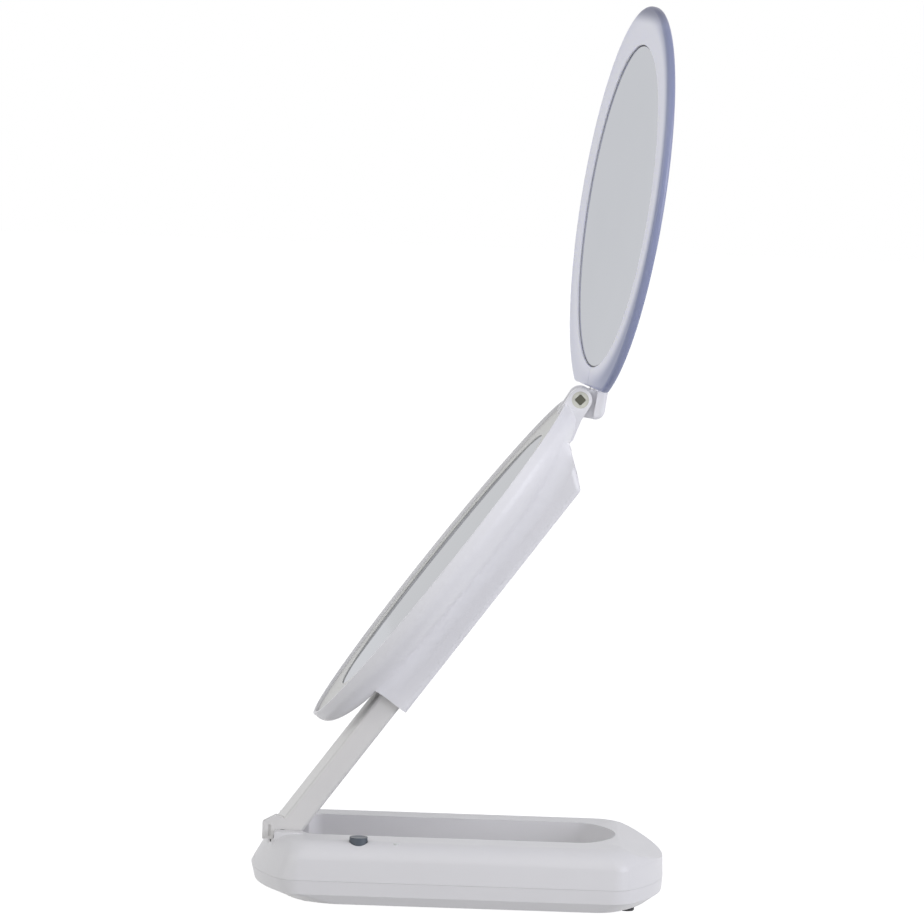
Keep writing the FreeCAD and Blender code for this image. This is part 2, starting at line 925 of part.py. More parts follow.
bore_half_width = arm_half_width + sleeve_play
bore_half_height = arm_thickness / 2 + sleeve_play
sleeve_half_width = bore_half_width + sleeve_wall
sleeve_bottom = -bore_half_height - sleeve_back_wall
sleeve_front_end = bowl_end - sleeve_front_setback
sleeve_back_end = bowl_end - sleeve_back_setback
plug_start = bowl_end - plug_setback
rim_bottom = rim_rise - rim_height
bezel_top = rim_rise - lip_recess
bezel_bottom = bezel_top - bezel_thickness
lower_mirror_top = bezel_top - mirror_sink
tray_top = lower_mirror_top - mirror_thickness
lower_mirror_half_length = bowl_half_length - lip_wall - bezel_end_width
lower_mirror_half_width = bowl_half_width - lip_wall - bezel_side_width
saddle_top = rim_bottom - saddle_drop


def leaned(shape):
    """A shape of the dish turned about the dish's upper end: its lower end and far side stand forward."""
    turned = shape.copy()
    pivot = Vector(bowl_end, 0, rim_rise)
    turned.rotate(pivot, Vector(0, 1, 0), dish_lean)
    turned.rotate(pivot, Vector(1, 0, 0), dish_roll)
    return turned


def saddle(grow):
    """Room under the dish for the arm and the sleeve, grown by a wall."""
    side = sleeve_half_width + grow
    return box(-overrun, sleeve_front_end + grow, -side, side, sleeve_bottom, saddle_top + grow)


def bowl_body(inset):
    """The dish as a solid, drawn in by a wall, without its upright rim."""
    wires = []
    for step in range(bowl_steps + 1):
        turn = math.pi / 2 * step / bowl_steps
        drawn_in = bowl_turn_in * (1 - math.cos(turn)) + inset
        wires.append(oval_wire(
            bowl_centre, bowl_half_length - drawn_in, bowl_half_width - drawn_in,
            rim_bottom - bowl_depth * math.sin(turn) + inset,
        ))
    return Part.makeLoft(wires, True, False)


def ears(side):
    """One hinge ear with its root on the dish."""
    root = [
        (bowl_end - ear_root_setback, ear_root_rise),
        (bowl_end - ear_heel_setback, ear_heel_rise),
        (bowl_end - ear_knee_setback, ear_knee_rise),
        (tilt_x, tilt_rise - ear_radius),
        (tilt_x, tilt_rise + ear_radius),
        (bowl_end - ear_radius, rim_rise),
        (bowl_end - ear_root_setback, rim_bottom),
    ]
    inner = min(side * ear_inner, side * ear_outer)
    outer = max(side * ear_inner, side * ear_outer)
    disc = rod(ear_radius, Vector(tilt_x, inner, tilt_rise), Vector(tilt_x, outer, tilt_rise))
    return fused([prism_across(root, inner, outer), disc])


def neck_room():
    """Room between the ears for the neck to turn in."""
    return rod(
        notch_radius, Vector(tilt_x, -ear_inner, tilt_rise), Vector(tilt_x, ear_inner, tilt_rise)
    )


stud_places = [
    (bowl_centre + row * sleeve_screw_spread / 2, side * sleeve_screw_gauge / 2)
    for row in (-1, 1)
    for side in (-1, 1)
]
stud_floor = bore_half_height + small_head_height + moulding_gap
stud_tip = stud_floor + small_screw_length


def dish_solid():
    """The dish's outer form with its upright rim and its ears."""
    rim = oval_plate(bowl_centre, bowl_half_length, bowl_half_width, rim_bottom, rim_rise)
    dish = leaned(fused([rim, bowl_body(0)])).cut(saddle(0)).cut(neck_room())
    return fused([dish, ears(1), ears(-1)])


def make_lower_bowl():
    lip_length = bowl_half_length - lip_wall
    lip_width = bowl_half_width - lip_wall
    throat_bottom = bezel_bottom - tray_thickness - moulding_gap
    pocket = oval_plate(bowl_centre, lip_length, lip_width, bezel_bottom, rim_rise + overrun)
    throat = oval_plate(
        bowl_centre, lip_length - bezel_ledge, lip_width - bezel_ledge, throat_bottom, bezel_bottom + overrun
    )
    below = oval_plate(bowl_centre, bowl_half_length, bowl_half_width, 0, throat_bottom)
    hollow = leaned(fused([bowl_body(bowl_wall).common(below), throat, pocket])).cut(saddle(bowl_wall))
    bowl = fused([dish_solid().cut(hollow), ear_pads(1), ear_pads(-1)])
    for x, y in stud_places:
        stud = rod(bowl_stud_radius, Vector(x, y, saddle_top), Vector(x, y, stud_tip + bowl_wall))
        bowl = fused([bowl, stud.common(dish_solid())])
        bowl = bowl.cut(rod(small_shank_radius, Vector(x, y, 0), Vector(x, y, stud_tip)))
    recess_depth_in = axle_head_height + axle_head_sink
    for side in (1, -1):
        face = Vector(tilt_x, side * ear_outer, tilt_rise)
        seat = Vector(tilt_x, side * (ear_outer - recess_depth_in), tilt_rise)
        bowl = bowl.cut(rod(axle_head_radius, seat, face))
    bore = rod(axle_radius, Vector(tilt_x, -ear_outer, tilt_rise), Vector(tilt_x, ear_outer, tilt_rise))
    return bowl.cut(bore)


def ear_pads(side):
    """The part of an ear that fills the dish's wall behind it."""
    keep = box(
        bowl_end - ear_radius - lip_wall, tilt_x + ear_radius,
        -bowl_half_width, bowl_half_width, 0, rim_rise + ear_radius,
    )
    return ears(side).common(keep)


def make_sleeve():
    outline = [
        (sleeve_start, sleeve_bottom),
        (sleeve_back_end, sleeve_bottom),
        (sleeve_front_end, -sleeve_bottom),
        (sleeve_front_end, sleeve_top),
        (sleeve_start, sleeve_top),
    ]
    block = prism_across(outline, -sleeve_half_width, sleeve_half_width)
    bevelled = [
        e for e in block.Edges
        if abs(e.BoundBox.ZMax - sleeve_bottom) < moulding_gap and e.BoundBox.XLength > arm_width
    ]
    block = block.makeFillet(sleeve_bevel, bevelled)
    slanted = [
        e for e in block.Edges
        if abs(e.BoundBox.XMin - sleeve_back_end) < overrun
        and e.BoundBox.YLength > sleeve_half_width
        and e.BoundBox.ZMax < 0
    ]
    block = block.makeFillet(sleeve_bevel, slanted)
    bore = box(
        sleeve_start - overrun, sleeve_front_end + overrun, -bore_half_width, bore_half_width,
        -bore_half_height, bore_half_height,
    )
    sleeve = block.cut(dish_solid()).cut(bore)
    for x, y in stud_places:
        sleeve = sleeve.cut(rod(small_shank_radius, Vector(x, y, 0), Vector(x, y, stud_tip)))
        sleeve = sleeve.cut(rod(small_head_radius, Vector(x, y, 0), Vector(x, y, stud_floor)))
    return max(sleeve.Solids, key=lambda solid: solid.Volume)


def make_sleeve_end_plug():
    slope = (sleeve_front_end - sleeve_back_end) / (-2 * sleeve_bottom)
    low_end = sleeve_back_end + slope * (-bore_half_height - sleeve_bottom) - sleeve_wall / 2
    high_end = sleeve_back_end + slope * (bore_half_height - sleeve_bottom) - sleeve_wall / 2
    outline = [
        (plug_start, -bore_half_height),
        (low_end, -bore_half_height),
        (high_end, bore_half_height),
        (plug_start, bore_half_height),
    ]
    return prism_across(outline, -bore_half_width, bore_half_width)


def make_sleeve_screws():
    screws = []
    for x, y in stud_places:
        screw = pan_screw(small_head_radius, small_head_height, small_shank_radius, small_screw_length)
        screw.translate(Vector(x, y, stud_floor))
        screws.append(screw)
    return grouped(screws)


def make_lower_bezel():
    length = bowl_half_length - lip_wall - sliding_gap
    width = bowl_half_width - lip_wall - sliding_gap
    bezel = oval_plate(bowl_centre, length, width, bezel_bottom, bezel_top)
    window = oval_plate(
        bowl_centre, lower_mirror_half_length + sliding_gap, lower_mirror_half_width + sliding_gap,
        bezel_bottom - overrun, bezel_top + overrun,
    )
    bezel = leaned(bezel.cut(window)).cut(neck_room())
    for side in (1, -1):
        bezel = bezel.cut(ear_shadow(side))
    return bezel


def ear_shadow(side):
    """An ear grown by a moulding gap, which the bezel is cut away from."""
    inner = side * (ear_inner - moulding_gap)
    outer = side * (ear_outer + moulding_gap)
    start = bowl_end - ear_radius - lip_wall - moulding_gap
    return box(start, tilt_x, min(inner, outer), max(inner, outer), 0, rim_rise + ear_radius)


def make_lower_mirror():
    return leaned(oval_plate(
        bowl_centre, lower_mirror_half_length, lower_mirror_half_width, tray_top, lower_mirror_top
    ))


def make_lower_mirror_tray():
    low = oval_plate(
        bowl_centre, lower_mirror_half_length + tray_lap, lower_mirror_half_width + tray_lap,
        bezel_bottom - tray_thickness, bezel_bottom,
    )
    high = oval_plate(
        bowl_centre, lower_mirror_half_length, lower_mirror_half_width, bezel_bottom - tray_thickness,
        tray_top,
    )
    return leaned(fused([low, high]))


def make_tilt_axle():
    face = ear_outer - axle_head_sink
    shaft = rod(axle_radius, Vector(tilt_x, -face, tilt_rise), Vector(tilt_x, face, tilt_rise))
    axle = shaft
    half = axle_socket / 2
    for side in (1, -1):
        inner = side * (face - axle_head_height)
        head = rod(
            axle_head_radius, Vector(tilt_x, inner, tilt_rise), Vector(tilt_x, side * face, tilt_rise)
        )
        axle = fused([axle, head])
    for side in (1, -1):
        deep = side * (face - axle_socket_depth)
        out = side * (face + overrun)
        socket = box(
            tilt_x - half, tilt_x + half, min(deep, out), max(deep, out),
            tilt_rise - half, tilt_rise + half,
        )
        socket.rotate(Vector(tilt_x, 0, tilt_rise), Vector(0, 1, 0), arm_angle - 45)
        axle = axle.cut(socket)
    return axle


knuckle_side = ear_inner - tilt_washer_thickness - 2 * running_gap


def make_tilt_washers():
    near = knuckle_side + running_gap
    start = Vector(tilt_x, near, tilt_rise)
    end = Vector(tilt_x, near + tilt_washer_thickness, tilt_rise)
    washer = rod(tilt_washer_radius, start, end).cut(rod(axle_radius, start, end))
    return grouped([washer, mirrored(washer)])


# Neck, drawn with the tilt axis at the origin and the light ring above it along X

bush_radius = shaft_radius + running_gap + bush_wall


def make_neck_block():
    knuckle = rod(knuckle_radius, Vector(0, -knuckle_side, 0), Vector(0, knuckle_side, 0))
    tongue = prism_across(
        [
            (neck_high, 0), (0, 0), (-neck_low / 2, 0), (-neck_low, -neck_toe),
            (-neck_low, -neck_back + neck_heel_round), (neck_high, -neck_back + neck_heel_round),
        ],
        -knuckle_side, knuckle_side,
    )
    housing = box(-neck_low, neck_high, -neck_half_width, neck_half_width, -neck_back, -neck_front)
    heel_edges = [
        e for e in housing.Edges
        if e.BoundBox.XMax < -neck_low + moulding_gap and e.BoundBox.ZMax < -neck_back + moulding_gap
    ]
    housing = housing.makeFillet(neck_heel_round, heel_edges)
    side_edges = [
        e for e in housing.Edges
        if e.BoundBox.XLength > neck_low / 2 and e.BoundBox.YLength < moulding_gap
        and e.BoundBox.ZMin < -neck_back + moulding_gap
    ]
    housing = housing.makeFillet(neck_side_round, side_edges)
    neck = fused([knuckle, tongue, housing])
    bore = rod(axle_radius + running_gap, Vector(0, -ear_outer, 0), Vector(0, ear_outer, 0))
    bush_seat = rod(
        bush_radius, Vector(-neck_low, 0, -swivel_offset), Vector(neck_high + overrun, 0, -swivel_offset)
    )
    clip_pocket = rod(
        clip_pocket_radius, Vector(-neck_low - overrun, 0, -swivel_offset),
        Vector(-neck_low + clip_pocket_depth, 0, -swivel_offset),
    )
    return neck.cut(bore).cut(bush_seat).cut(clip_pocket)


def make_swivel_bush():
    start = Vector(-neck_low + clip_pocket_depth, 0, -swivel_offset)
    end = Vector(neck_high, 0, -swivel_offset)
    return rod(bush_radius, start, end).cut(rod(shaft_radius + running_gap, start, end))


# Upper light ring, drawn in the neck's frame with its face towards +Z

ring_middle = ring_top - ring_half_length
ring_half_width = ring_width / 2
ring_split = -swivel_offset + ring_forward
ring_front = ring_split + ring_thickness / 2
ring_back = ring_split - ring_thickness / 2
mirror_half_length = upper_mirror_length / 2
mirror_half_width = upper_mirror_width / 2
mirror_middle = upper_mirror_low + mirror_half_length
upper_mirror_top = ring_front - upper_mirror_sink
upper_mirror_bottom = upper_mirror_top - upper_mirror_thickness
guide_outer = ring_wall
guide_inner = ring_wall + guide_width
board_back = ring_back + ring_wall


def guide_channel(z0, z1, play):
    """The oval channel round the mirror that holds the lights, open towards the neck."""
    outer = oval_plate(
        ring_middle, ring_half_length - guide_outer - play, ring_half_width - guide_outer - play, z0, z1
    )
    inner = oval_plate(
        ring_middle, ring_half_length - guide_inner + play, ring_half_width - guide_inner + play,
        z0 - overrun, z1 + overrun,
    )
    kept = box(led_start + play, ring_top, -ring_half_width, ring_half_width, z0, z1)
    return outer.cut(inner).common(kept)


def ring_half(z0, z1, outer_face):
    """Half of the ring's thickness, cut flat towards the neck, with its outer edge rounded."""
    oval = oval_plate(ring_middle, ring_half_length, ring_half_width, z0, z1)
    plate = oval.common(box(ring_flat, ring_top, -ring_half_width, ring_half_width, z0, z1))
    corners = [
        e for e in plate.Edges
        if e.BoundBox.ZLength > ring_wall and e.BoundBox.XMax < ring_flat + moulding_gap
    ]
    plate = plate.makeFillet(ring_corner_round, corners)
    rim = [
        e for e in plate.Edges
        if abs(e.BoundBox.ZMax - outer_face) < moulding_gap and e.BoundBox.ZLength < moulding_gap
    ]
    return plate.makeFillet(ring_edge_round, rim)


def shaft_hole():
    """The hole along the swivel axis that the shaft is gripped in."""
    return rod(
        shaft_radius, Vector(ring_flat - overrun, 0, -swivel_offset),
        Vector(ring_flat + shaft_grip, 0, -swivel_offset),
    )


ring_screw_places = [
    (ring_screw_low_x, -ring_screw_low_y),
    (ring_screw_low_x, ring_screw_low_y),
    (ring_screw_high_x, -ring_screw_high_y),
    (ring_screw_high_x, ring_screw_high_y),
]
ring_screw_seat = ring_back + ring_screw_sink + small_head_height


def make_ring_front_cover():
    cover = ring_half(ring_split, ring_front, ring_front)
    window = oval_plate(
        mirror_middle, mirror_half_length + sliding_gap, mirror_half_width + sliding_gap,
        ring_split - overrun, ring_front + overrun,
    )
    channel = guide_channel(ring_split - overrun, ring_front - ring_wall, 0)
    seam = box(
        0, upper_mirror_low + overrun, -seam_width / 2, seam_width / 2,
        ring_front - seam_depth, ring_front + overrun,
    )
    cover = cover.cut(window).cut(channel).cut(shaft_hole()).cut(seam)
    for x, y in ring_screw_places:
        tip = Vector(x, y, ring_screw_seat + ring_screw_length)
        cover = cover.cut(rod(small_shank_radius, Vector(x, y, ring_back), tip))
    return cover


def make_ring_rear_cover():
    boss = rod(
        shaft_radius + ring_wall, Vector(ring_flat, 0, -swivel_offset),
        Vector(ring_flat + shaft_grip, 0, -swivel_offset),
    )
    behind = box(
        0, ring_top, -ring_half_width, ring_half_width, ring_back - ring_thickness, ring_split
    )
    cover = fused([ring_half(ring_back, ring_split, ring_back), boss.common(behind)])
    seat = oval_plate(
        mirror_middle, mirror_half_length + sliding_gap, mirror_half_width + sliding_gap,
        board_back, ring_split + overrun,
    )
    channel = guide_channel(board_back, ring_split + overrun, 0)
    cover = cover.cut(seat).cut(channel).cut(shaft_hole())
    for x, y in ring_screw_places:
        seat_point = Vector(x, y, ring_screw_seat)
        cover = cover.cut(rod(small_head_radius, Vector(x, y, ring_back - overrun), seat_point))
        cover = cover.cut(rod(small_shank_radius, seat_point, Vector(x, y, ring_front)))
    return cover


def make_ring_screws():
    screws = []
    for x, y in ring_screw_places:
        screw = pan_screw(small_head_radius, small_head_height, small_shank_radius, ring_screw_length)
        screw.translate(Vector(x, y, ring_screw_seat))
        screws.append(screw)
    return grouped(screws)


def make_upper_mirror():
    return oval_plate(
        mirror_middle, mirror_half_length, mirror_half_width, upper_mirror_bottom, upper_mirror_top
    )


def make_mirror_backing_plate():
    return oval_plate(
        mirror_middle, mirror_half_length, mirror_half_width, board_back, upper_mirror_bottom
    )


def make_led_board():
    return guide_channel(board_back, board_back + led_board_thickness, led_board_play)


def make_leds():
    packages = []
    low = board_back + led_board_thickness
    run_length = ring_half_length - (guide_outer + guide_inner) / 2
    run_width = ring_half_width - (guide_outer + guide_inner) / 2
    for index in range(led_count):
        turn = math.radians(led_spread * ((index + 1 / 2) / led_count - 1 / 2))
        x = ring_middle + run_length * math.cos(turn)
        y = run_width * math.sin(turn)
        heading = math.degrees(math.atan2(run_width * math.cos(turn), -run_length * math.sin(turn)))
        package = box(
            -led_length / 2, led_length / 2, -led_width / 2, led_width / 2, low, low + led_height
        )
        package.rotate(Vector(0, 0, 0), Vector(0, 0, 1), heading)
        package.translate(Vector(x, y, 0))
        packages.append(package)
    return grouped(packages)


def make_swivel_shaft():
    axis = Vector(0, 0, -swivel_offset)
    low = Vector(-shaft_low, 0, 0) + axis
    high = Vector(ring_flat + shaft_grip, 0, 0) + axis
    collar_low = Vector(neck_high + running_gap, 0, 0) + axis
    collar_high = Vector(ring_flat, 0, 0) + axis
    return fused([rod(shaft_radius, low, high), rod(collar_radius, collar_low, collar_high)])


def make_swivel_clip():
    top = -neck_low + clip_pocket_depth - running_gap
    start = Vector(top - clip_height, 0, -swivel_offset)
    end = Vector(top, 0, -swivel_offset)
    return rod(clip_radius, start, end).cut(rod(shaft_radius, start, end))


# Every piece with the frame that it is drawn in

pieces = [
    ("base_upper_shell", make_base_upper_shell(), at_rest),
    ("base_lower_shell", make_base_lower_shell(), at_rest),
    ("base_feet", make_base_feet(), at_rest),
    ("base_screws", make_base_screws(), at_rest),
    ("battery_cells", make_battery_cells(), at_rest),
    ("battery_contacts", make_battery_contacts(), at_rest),
    ("battery_door_near", make_battery_door(-1), at_rest),
    ("battery_door_far", make_battery_door(1), at_rest),
    ("power_button", make_power_button(), at_rest),
    ("switch_board", make_switch_board(), at_rest),
    ("board_screws", make_board_screws(), at_rest),
    ("tact_switch", make_tact_switch(), at_rest),
    ("indicator_lens", make_indicator_lens(), at_rest),
    ("hinge_pin", make_hinge_pin(), at_rest),
    ("hinge_washers", make_hinge_washers(), at_rest),
    ("arm_channel", make_arm_channel(), arm_place),
    ("arm_back_cover", make_arm_back_cover(), arm_place),
    ("arm_cover_screws", make_arm_cover_screws(), arm_place),
    ("slide_pads", make_slide_pads(), arm_place),
    ("lower_bowl", make_lower_bowl(), arm_place),
    ("sleeve", make_sleeve(), arm_place),
    ("sleeve_end_plug", make_sleeve_end_plug(), arm_place),
    ("sleeve_screws", make_sleeve_screws(), arm_place),
    ("lower_bezel", make_lower_bezel(), arm_place),
    ("lower_mirror", make_lower_mirror(), arm_place),
    ("lower_mirror_tray", make_lower_mirror_tray(), arm_place),
    ("tilt_axle", make_tilt_axle(), arm_place),
    ("tilt_washers", make_tilt_washers(), arm_place),
    ("neck_block", make_neck_block(), neck_place),
    ("swivel_bush", make_swivel_bush(), neck_place),
    ("ring_front_cover", make_ring_front_cover(), ring_place),
    ("ring_rear_cover", make_ring_rear_cover(), ring_place),
    ("upper_mirror", make_upper_mirror(), ring_place),
    ("mirror_backing_plate", make_mirror_backing_plate(), ring_place),
    ("led_board", make_led_board(), ring_place),
    ("leds", make_leds(), ring_place),
    ("swivel_shaft", make_swivel_shaft(), ring_place),
    ("swivel_clip", make_swivel_clip(), ring_place),
    ("ring_screws", make_ring_screws(), ring_place),
]

os.makedirs("parts", exist_ok=True)
for node, shape, place in pieces:
    placed = shape.copy()
    placed.transformShape(place.toMatrix())
    placed.exportStep("parts/" + node + ".step")
    print(node, len(placed.Solids), placed.isValid(), round(placed.Volume, 1))
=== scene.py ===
import json
import math
from typing import NamedTuple

import bmesh
import bpy
from bpy.props import FloatProperty, FloatVectorProperty, PointerProperty
from mathutils import Matrix, Vector
from mathutils.bvhtree import BVHTree


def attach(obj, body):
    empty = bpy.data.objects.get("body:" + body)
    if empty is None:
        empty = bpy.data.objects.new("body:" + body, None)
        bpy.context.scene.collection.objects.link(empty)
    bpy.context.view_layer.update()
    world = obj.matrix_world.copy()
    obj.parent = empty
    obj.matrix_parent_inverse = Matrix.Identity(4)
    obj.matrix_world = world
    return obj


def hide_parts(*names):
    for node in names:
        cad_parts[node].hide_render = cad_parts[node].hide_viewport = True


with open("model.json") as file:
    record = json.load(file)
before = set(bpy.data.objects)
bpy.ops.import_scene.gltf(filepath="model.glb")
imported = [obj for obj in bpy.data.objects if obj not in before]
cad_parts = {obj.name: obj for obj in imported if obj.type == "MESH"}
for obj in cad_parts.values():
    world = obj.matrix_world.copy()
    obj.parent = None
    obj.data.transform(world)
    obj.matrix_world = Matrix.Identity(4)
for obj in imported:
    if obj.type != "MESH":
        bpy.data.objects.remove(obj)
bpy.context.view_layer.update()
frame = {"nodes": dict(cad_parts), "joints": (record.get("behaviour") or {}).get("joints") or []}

bl_info = {
    "name": "Lighted Makeup Mirror",
    "version": (1, 0, 0),
    "blender": (4, 5, 0),
    "location": "View3D > Sidebar > Mirror",
    "description": "Builds the looks of a folding lighted makeup mirror around its packed frame",
    "category": "Object",
}

MM = 0.001
JOINTS = {joint["name"]: joint for joint in frame["joints"]}
PHOTO_PIXELS = 924


# Frames of the arm, the neck and the light ring, read from the joints

def leaning_frame(point, along):
    """A frame whose X runs along a direction in the XZ plane, and and whose Y is the world's Y."""
    x_axis = Vector(along).normalized()
    y_axis = Vector((0, 1, 0))
    z_axis = x_axis.cross(y_axis)
    turned = Matrix((x_axis, y_axis, z_axis)).transposed().to_4x4()
    return Matrix.Translation(Vector(point)) @ turned


ARM = leaning_frame(JOINTS["arm_hinge"]["pos_m"], JOINTS["panel_slide"]["axis"])
NECK = leaning_frame(JOINTS["panel_tilt"]["pos_m"], JOINTS["ring_swivel"]["axis"])
SQUARE_TURN = -math.radians(JOINTS["ring_swivel"]["range_deg"][0])
RING = NECK @ Matrix.Rotation(SQUARE_TURN, 4, "X")


def node_points(node, place):
    """The corners of a CAD node in a frame."""
    inverse = place.inverted()
    return [inverse @ corner.co for corner in frame["nodes"][node].data.vertices]


def node_box(node, place):
    """The lowest and highest corners of a CAD node in a frame."""
    points = node_points(node, place)
    low = Vector(min(point[axis] for point in points) for axis in range(3))
    high = Vector(max(point[axis] for point in points) for axis in range(3))
    return low, high


# Settings

def colour_property(name, description, default):
    """A colour that a user may change."""
    return FloatVectorProperty(
        name=name, description=description, subtype="COLOR", min=0.0, max=1.0, default=default,
    )


def length_property(name, description, default):
    """A length that a user may change."""
    return FloatProperty(
        name=name, description=description, unit="LENGTH", subtype="DISTANCE", min=0.0,
        default=default, precision=5,
    )


class MirrorStage(bpy.types.PropertyGroup):
    """Camera and light."""
    camera_eye: FloatVectorProperty(
        name="Camera place", description="Where the camera stands", subtype="TRANSLATION",
        unit="LENGTH", default=(0.0, -2.2902, 0.4125), precision=4,
    )
    camera_target: FloatVectorProperty(
        name="Camera target", description="The point that the camera looks at",
        subtype="TRANSLATION", unit="LENGTH", default=(0.0, 0.0, 0.2), precision=4,
    )
    camera_roll: FloatProperty(
        name="Camera roll", description="Turn of the camera about its view", subtype="ANGLE",
        default=math.radians(1.95),
    )
    lens: FloatProperty(name="Lens", description="Focal length", default=195.5, unit="CAMERA")
    target_pixel: FloatVectorProperty(
        name="Target pixel", description="Where the target falls in the photograph's frame", size=2,
        default=(470.8, 462.6),
    )
    fill: FloatProperty(
        name="Fill light", description="Strength of the surrounding light", min=0.0, default=0.43
    )
    left_power: FloatProperty(
        name="Left panel", description="Power of the light at the left", unit="POWER", min=0.0,
        default=7.8,
    )
    right_power: FloatProperty(
        name="Right panel", description="Power of the light at the right", unit="POWER", min=0.0,
        default=12.8,
    )
    front_power: FloatProperty(
        name="Front panel", description="Power of the light above the camera", unit="POWER",
        min=0.0, default=4.2,
    )
    floor_glow: FloatProperty(
        name="Floor glow", description="Light that the lit floor throws up", min=0.0, default=0.17
    )


class MirrorFinish(bpy.types.PropertyGroup):
    """Colours of the finishes."""
    shell: colour_property("Shell", "Moulded white plastic", (0.765, 0.760, 0.762))
    # Painted shade: the arm's colour is the white shell made darker and warmer for the shade on the
    # arm.
    arm_shell: colour_property("Arm", "White plastic of the arm", (0.720, 0.712, 0.695))
    # Painted shade: the bezel's colour is the white shell made darker and warmer where the frame
    # faces away from the light.
    bezel_shell: colour_property(
        "Bezel", "Off-white frame of the lower mirror", (0.665, 0.665, 0.640)
    )
    # Painted light: the dish and neck colour is the white shell made lighter and bluer where the
    # panel catches more light.
    panel_shell: colour_property(
        "Dish and neck", "White plastic of the dish and the neck", (0.840, 0.837, 0.852)
    )
    light: colour_property("Light ring", "Frosted plastic beside the mirror", (0.85, 0.86, 0.96))
    # Painted shade: the ring's deeper colours along its near outer edge and at its tip.
    light_edge_shade: colour_property(
        "Light ring edge", "Frosted plastic at the outer edge", (0.27, 0.30, 0.46)
    )
    light_tip_shade: colour_property(
        "Light ring tip", "Frosted plastic at the top of the ring", (0.13, 0.14, 0.25)
    )
    mirror: colour_property("Mirror", "Silvered glass seen straight on", (0.78, 0.79, 0.82))
    mirror_graze: colour_property(
        "Mirror edge-on", "Silvered glass seen at a low angle", (0.55, 0.56, 0.58)
    )
    # Painted shadow: the dark line in the gap round the upper mirror.
    seam: colour_property("Seam", "Dark line round a mirror", (0.10, 0.10, 0.11))
    button: colour_property("Button", "Push button", (0.070, 0.086, 0.106))
    rubber: colour_property("Feet", "Rubber feet", (0.040, 0.040, 0.042))
    # Painted shade: the dark plates that stand for the shade inside the axle's square sockets.
    socket: colour_property("Axle sockets", "Floor of the square sockets", (0.105, 0.105, 0.075))
    axle: colour_property("Axle ends", "Ends of the tilt axle", (0.60, 0.60, 0.53))
    steel: colour_property("Screws", "Plated steel", (0.56, 0.56, 0.57))


class MirrorDetail(bpy.types.PropertyGroup):
    """Sizes that only the looks have."""
    parting_close: length_property(
        "Parting", "How far the gap between the shells is closed", 0.00013
    )
    blend_reach: length_property("Blend", "How far the dish flows into its sleeve", 0.008)
    socket_shade_depth: length_property("Socket depth", "How deep the dark socket floors lie", 0.0003)
    seam_shadow_width: length_property("Seam width", "Width of the dark line round a mirror", 0.0009)
    recess_width: length_property("Screw slot", "Width of the cross slot in a screw", 0.0005)
    recess_depth: length_property("Screw slot depth", "Depth of the cross slot in a screw", 0.0004)


# Materials

TONE_DETAIL = 3.0
FINE_DETAIL = 4.0
GLOSS_TO_TONE_SCALE = 7
RAMP_ENDS = (0.3, 0.7)
# Spans of the painted shade on the light ring's edge and tip.
EDGE_SHADE_SPAN = (0.90, 1.0)
TIP_SHADE_SPAN = (0.90, 0.98)
NEAR_SHADE_SPAN = (0.3, -0.5)
FAR_EDGE_SHADE_SHARE = 0.15


class Finish(NamedTuple):
    """How a material looks; a colour that is a word is the name of a setting."""
    title: str
    colour: str | tuple
    scale: float
    roughness: tuple
    drift: float = 0.06
    metallic: float = 0.0
    grain: tuple | None = None
    scatter: tuple | None = None


SHELL_LOOK = {
    "scale": 22.0, "roughness": (0.36, 0.44), "drift": 0.012,
    "scatter": (0.06, (0.004, 0.004, 0.004)),
}
FINISHES = {
    "shell": Finish("moulded_white_shell", "shell", **SHELL_LOOK),
    "arm_shell": Finish("moulded_white_arm", "arm_shell", **SHELL_LOOK),
    "bezel_shell": Finish("moulded_white_bezel", "bezel_shell", **SHELL_LOOK),
    "panel_shell": Finish("moulded_white_panel", "panel_shell", **SHELL_LOOK),
    "light": Finish(
        "frosted_lavender_light", "light", 14.0, (0.27, 0.31), drift=0.015,
        scatter=(0.25, (0.004, 0.004, 0.006)),
    ),
    "mirror": Finish("silvered_mirror", "mirror", 10.0, (0.02, 0.04), drift=0.02, metallic=1.0),
    "seam": Finish("mirror_seam", "seam", 300.0, (0.5, 0.6), drift=0.02),
    "rubber": Finish(
        "foot_rubber", "rubber", 160.0, (0.62, 0.8), drift=0.2, grain=(1500.0, 0.2, 0.2 * MM)
    ),
    "steel": Finish("screw_steel", "steel", 240.0, (0.22, 0.38), drift=0.1, metallic=1.0),
    "axle": Finish("axle_olive_steel", "axle", 240.0, (0.35, 0.5), drift=0.1, metallic=0.3),
    # Painted shade for the floors of the axle's sockets.
    "socket": Finish("axle_socket", "socket", 240.0, (0.5, 0.6), drift=0.1),
    "button": Finish(
        "button_slate", "button", 160.0, (0.3, 0.45), drift=0.1, grain=(1800.0, 0.12, 0.2 * MM)
    ),
    "brass": Finish("bush_brass", (0.64, 0.48, 0.23), 200.0, (0.25, 0.4), metallic=1.0),
    "washer": Finish("washer_grey", (0.18, 0.18, 0.185), 200.0, (0.45, 0.6)),
    "lens": Finish("indicator_lens", (0.62, 0.64, 0.62), 200.0, (0.15, 0.25)),
    "cell": Finish("cell_jacket", (0.04, 0.045, 0.058), 60.0, (0.3, 0.4)),
    "nickel": Finish("contact_nickel", (0.62, 0.61, 0.57), 160.0, (0.25, 0.4), metallic=1.0),
    "board": Finish("board_green", (0.013, 0.098, 0.038), 120.0, (0.3, 0.45)),
    "switch": Finish("switch_black", (0.016, 0.016, 0.017), 120.0, (0.4, 0.55)),
    "sheet": Finish("backing_sheet", (0.61, 0.62, 0.63), 60.0, (0.3, 0.45), metallic=1.0),
    "led_board": Finish("led_board_white", (0.80, 0.80, 0.77), 90.0, (0.35, 0.5)),
    "led": Finish("led_pale_yellow", (0.83, 0.75, 0.33), 200.0, (0.2, 0.3)),
}
MATERIALS = {}


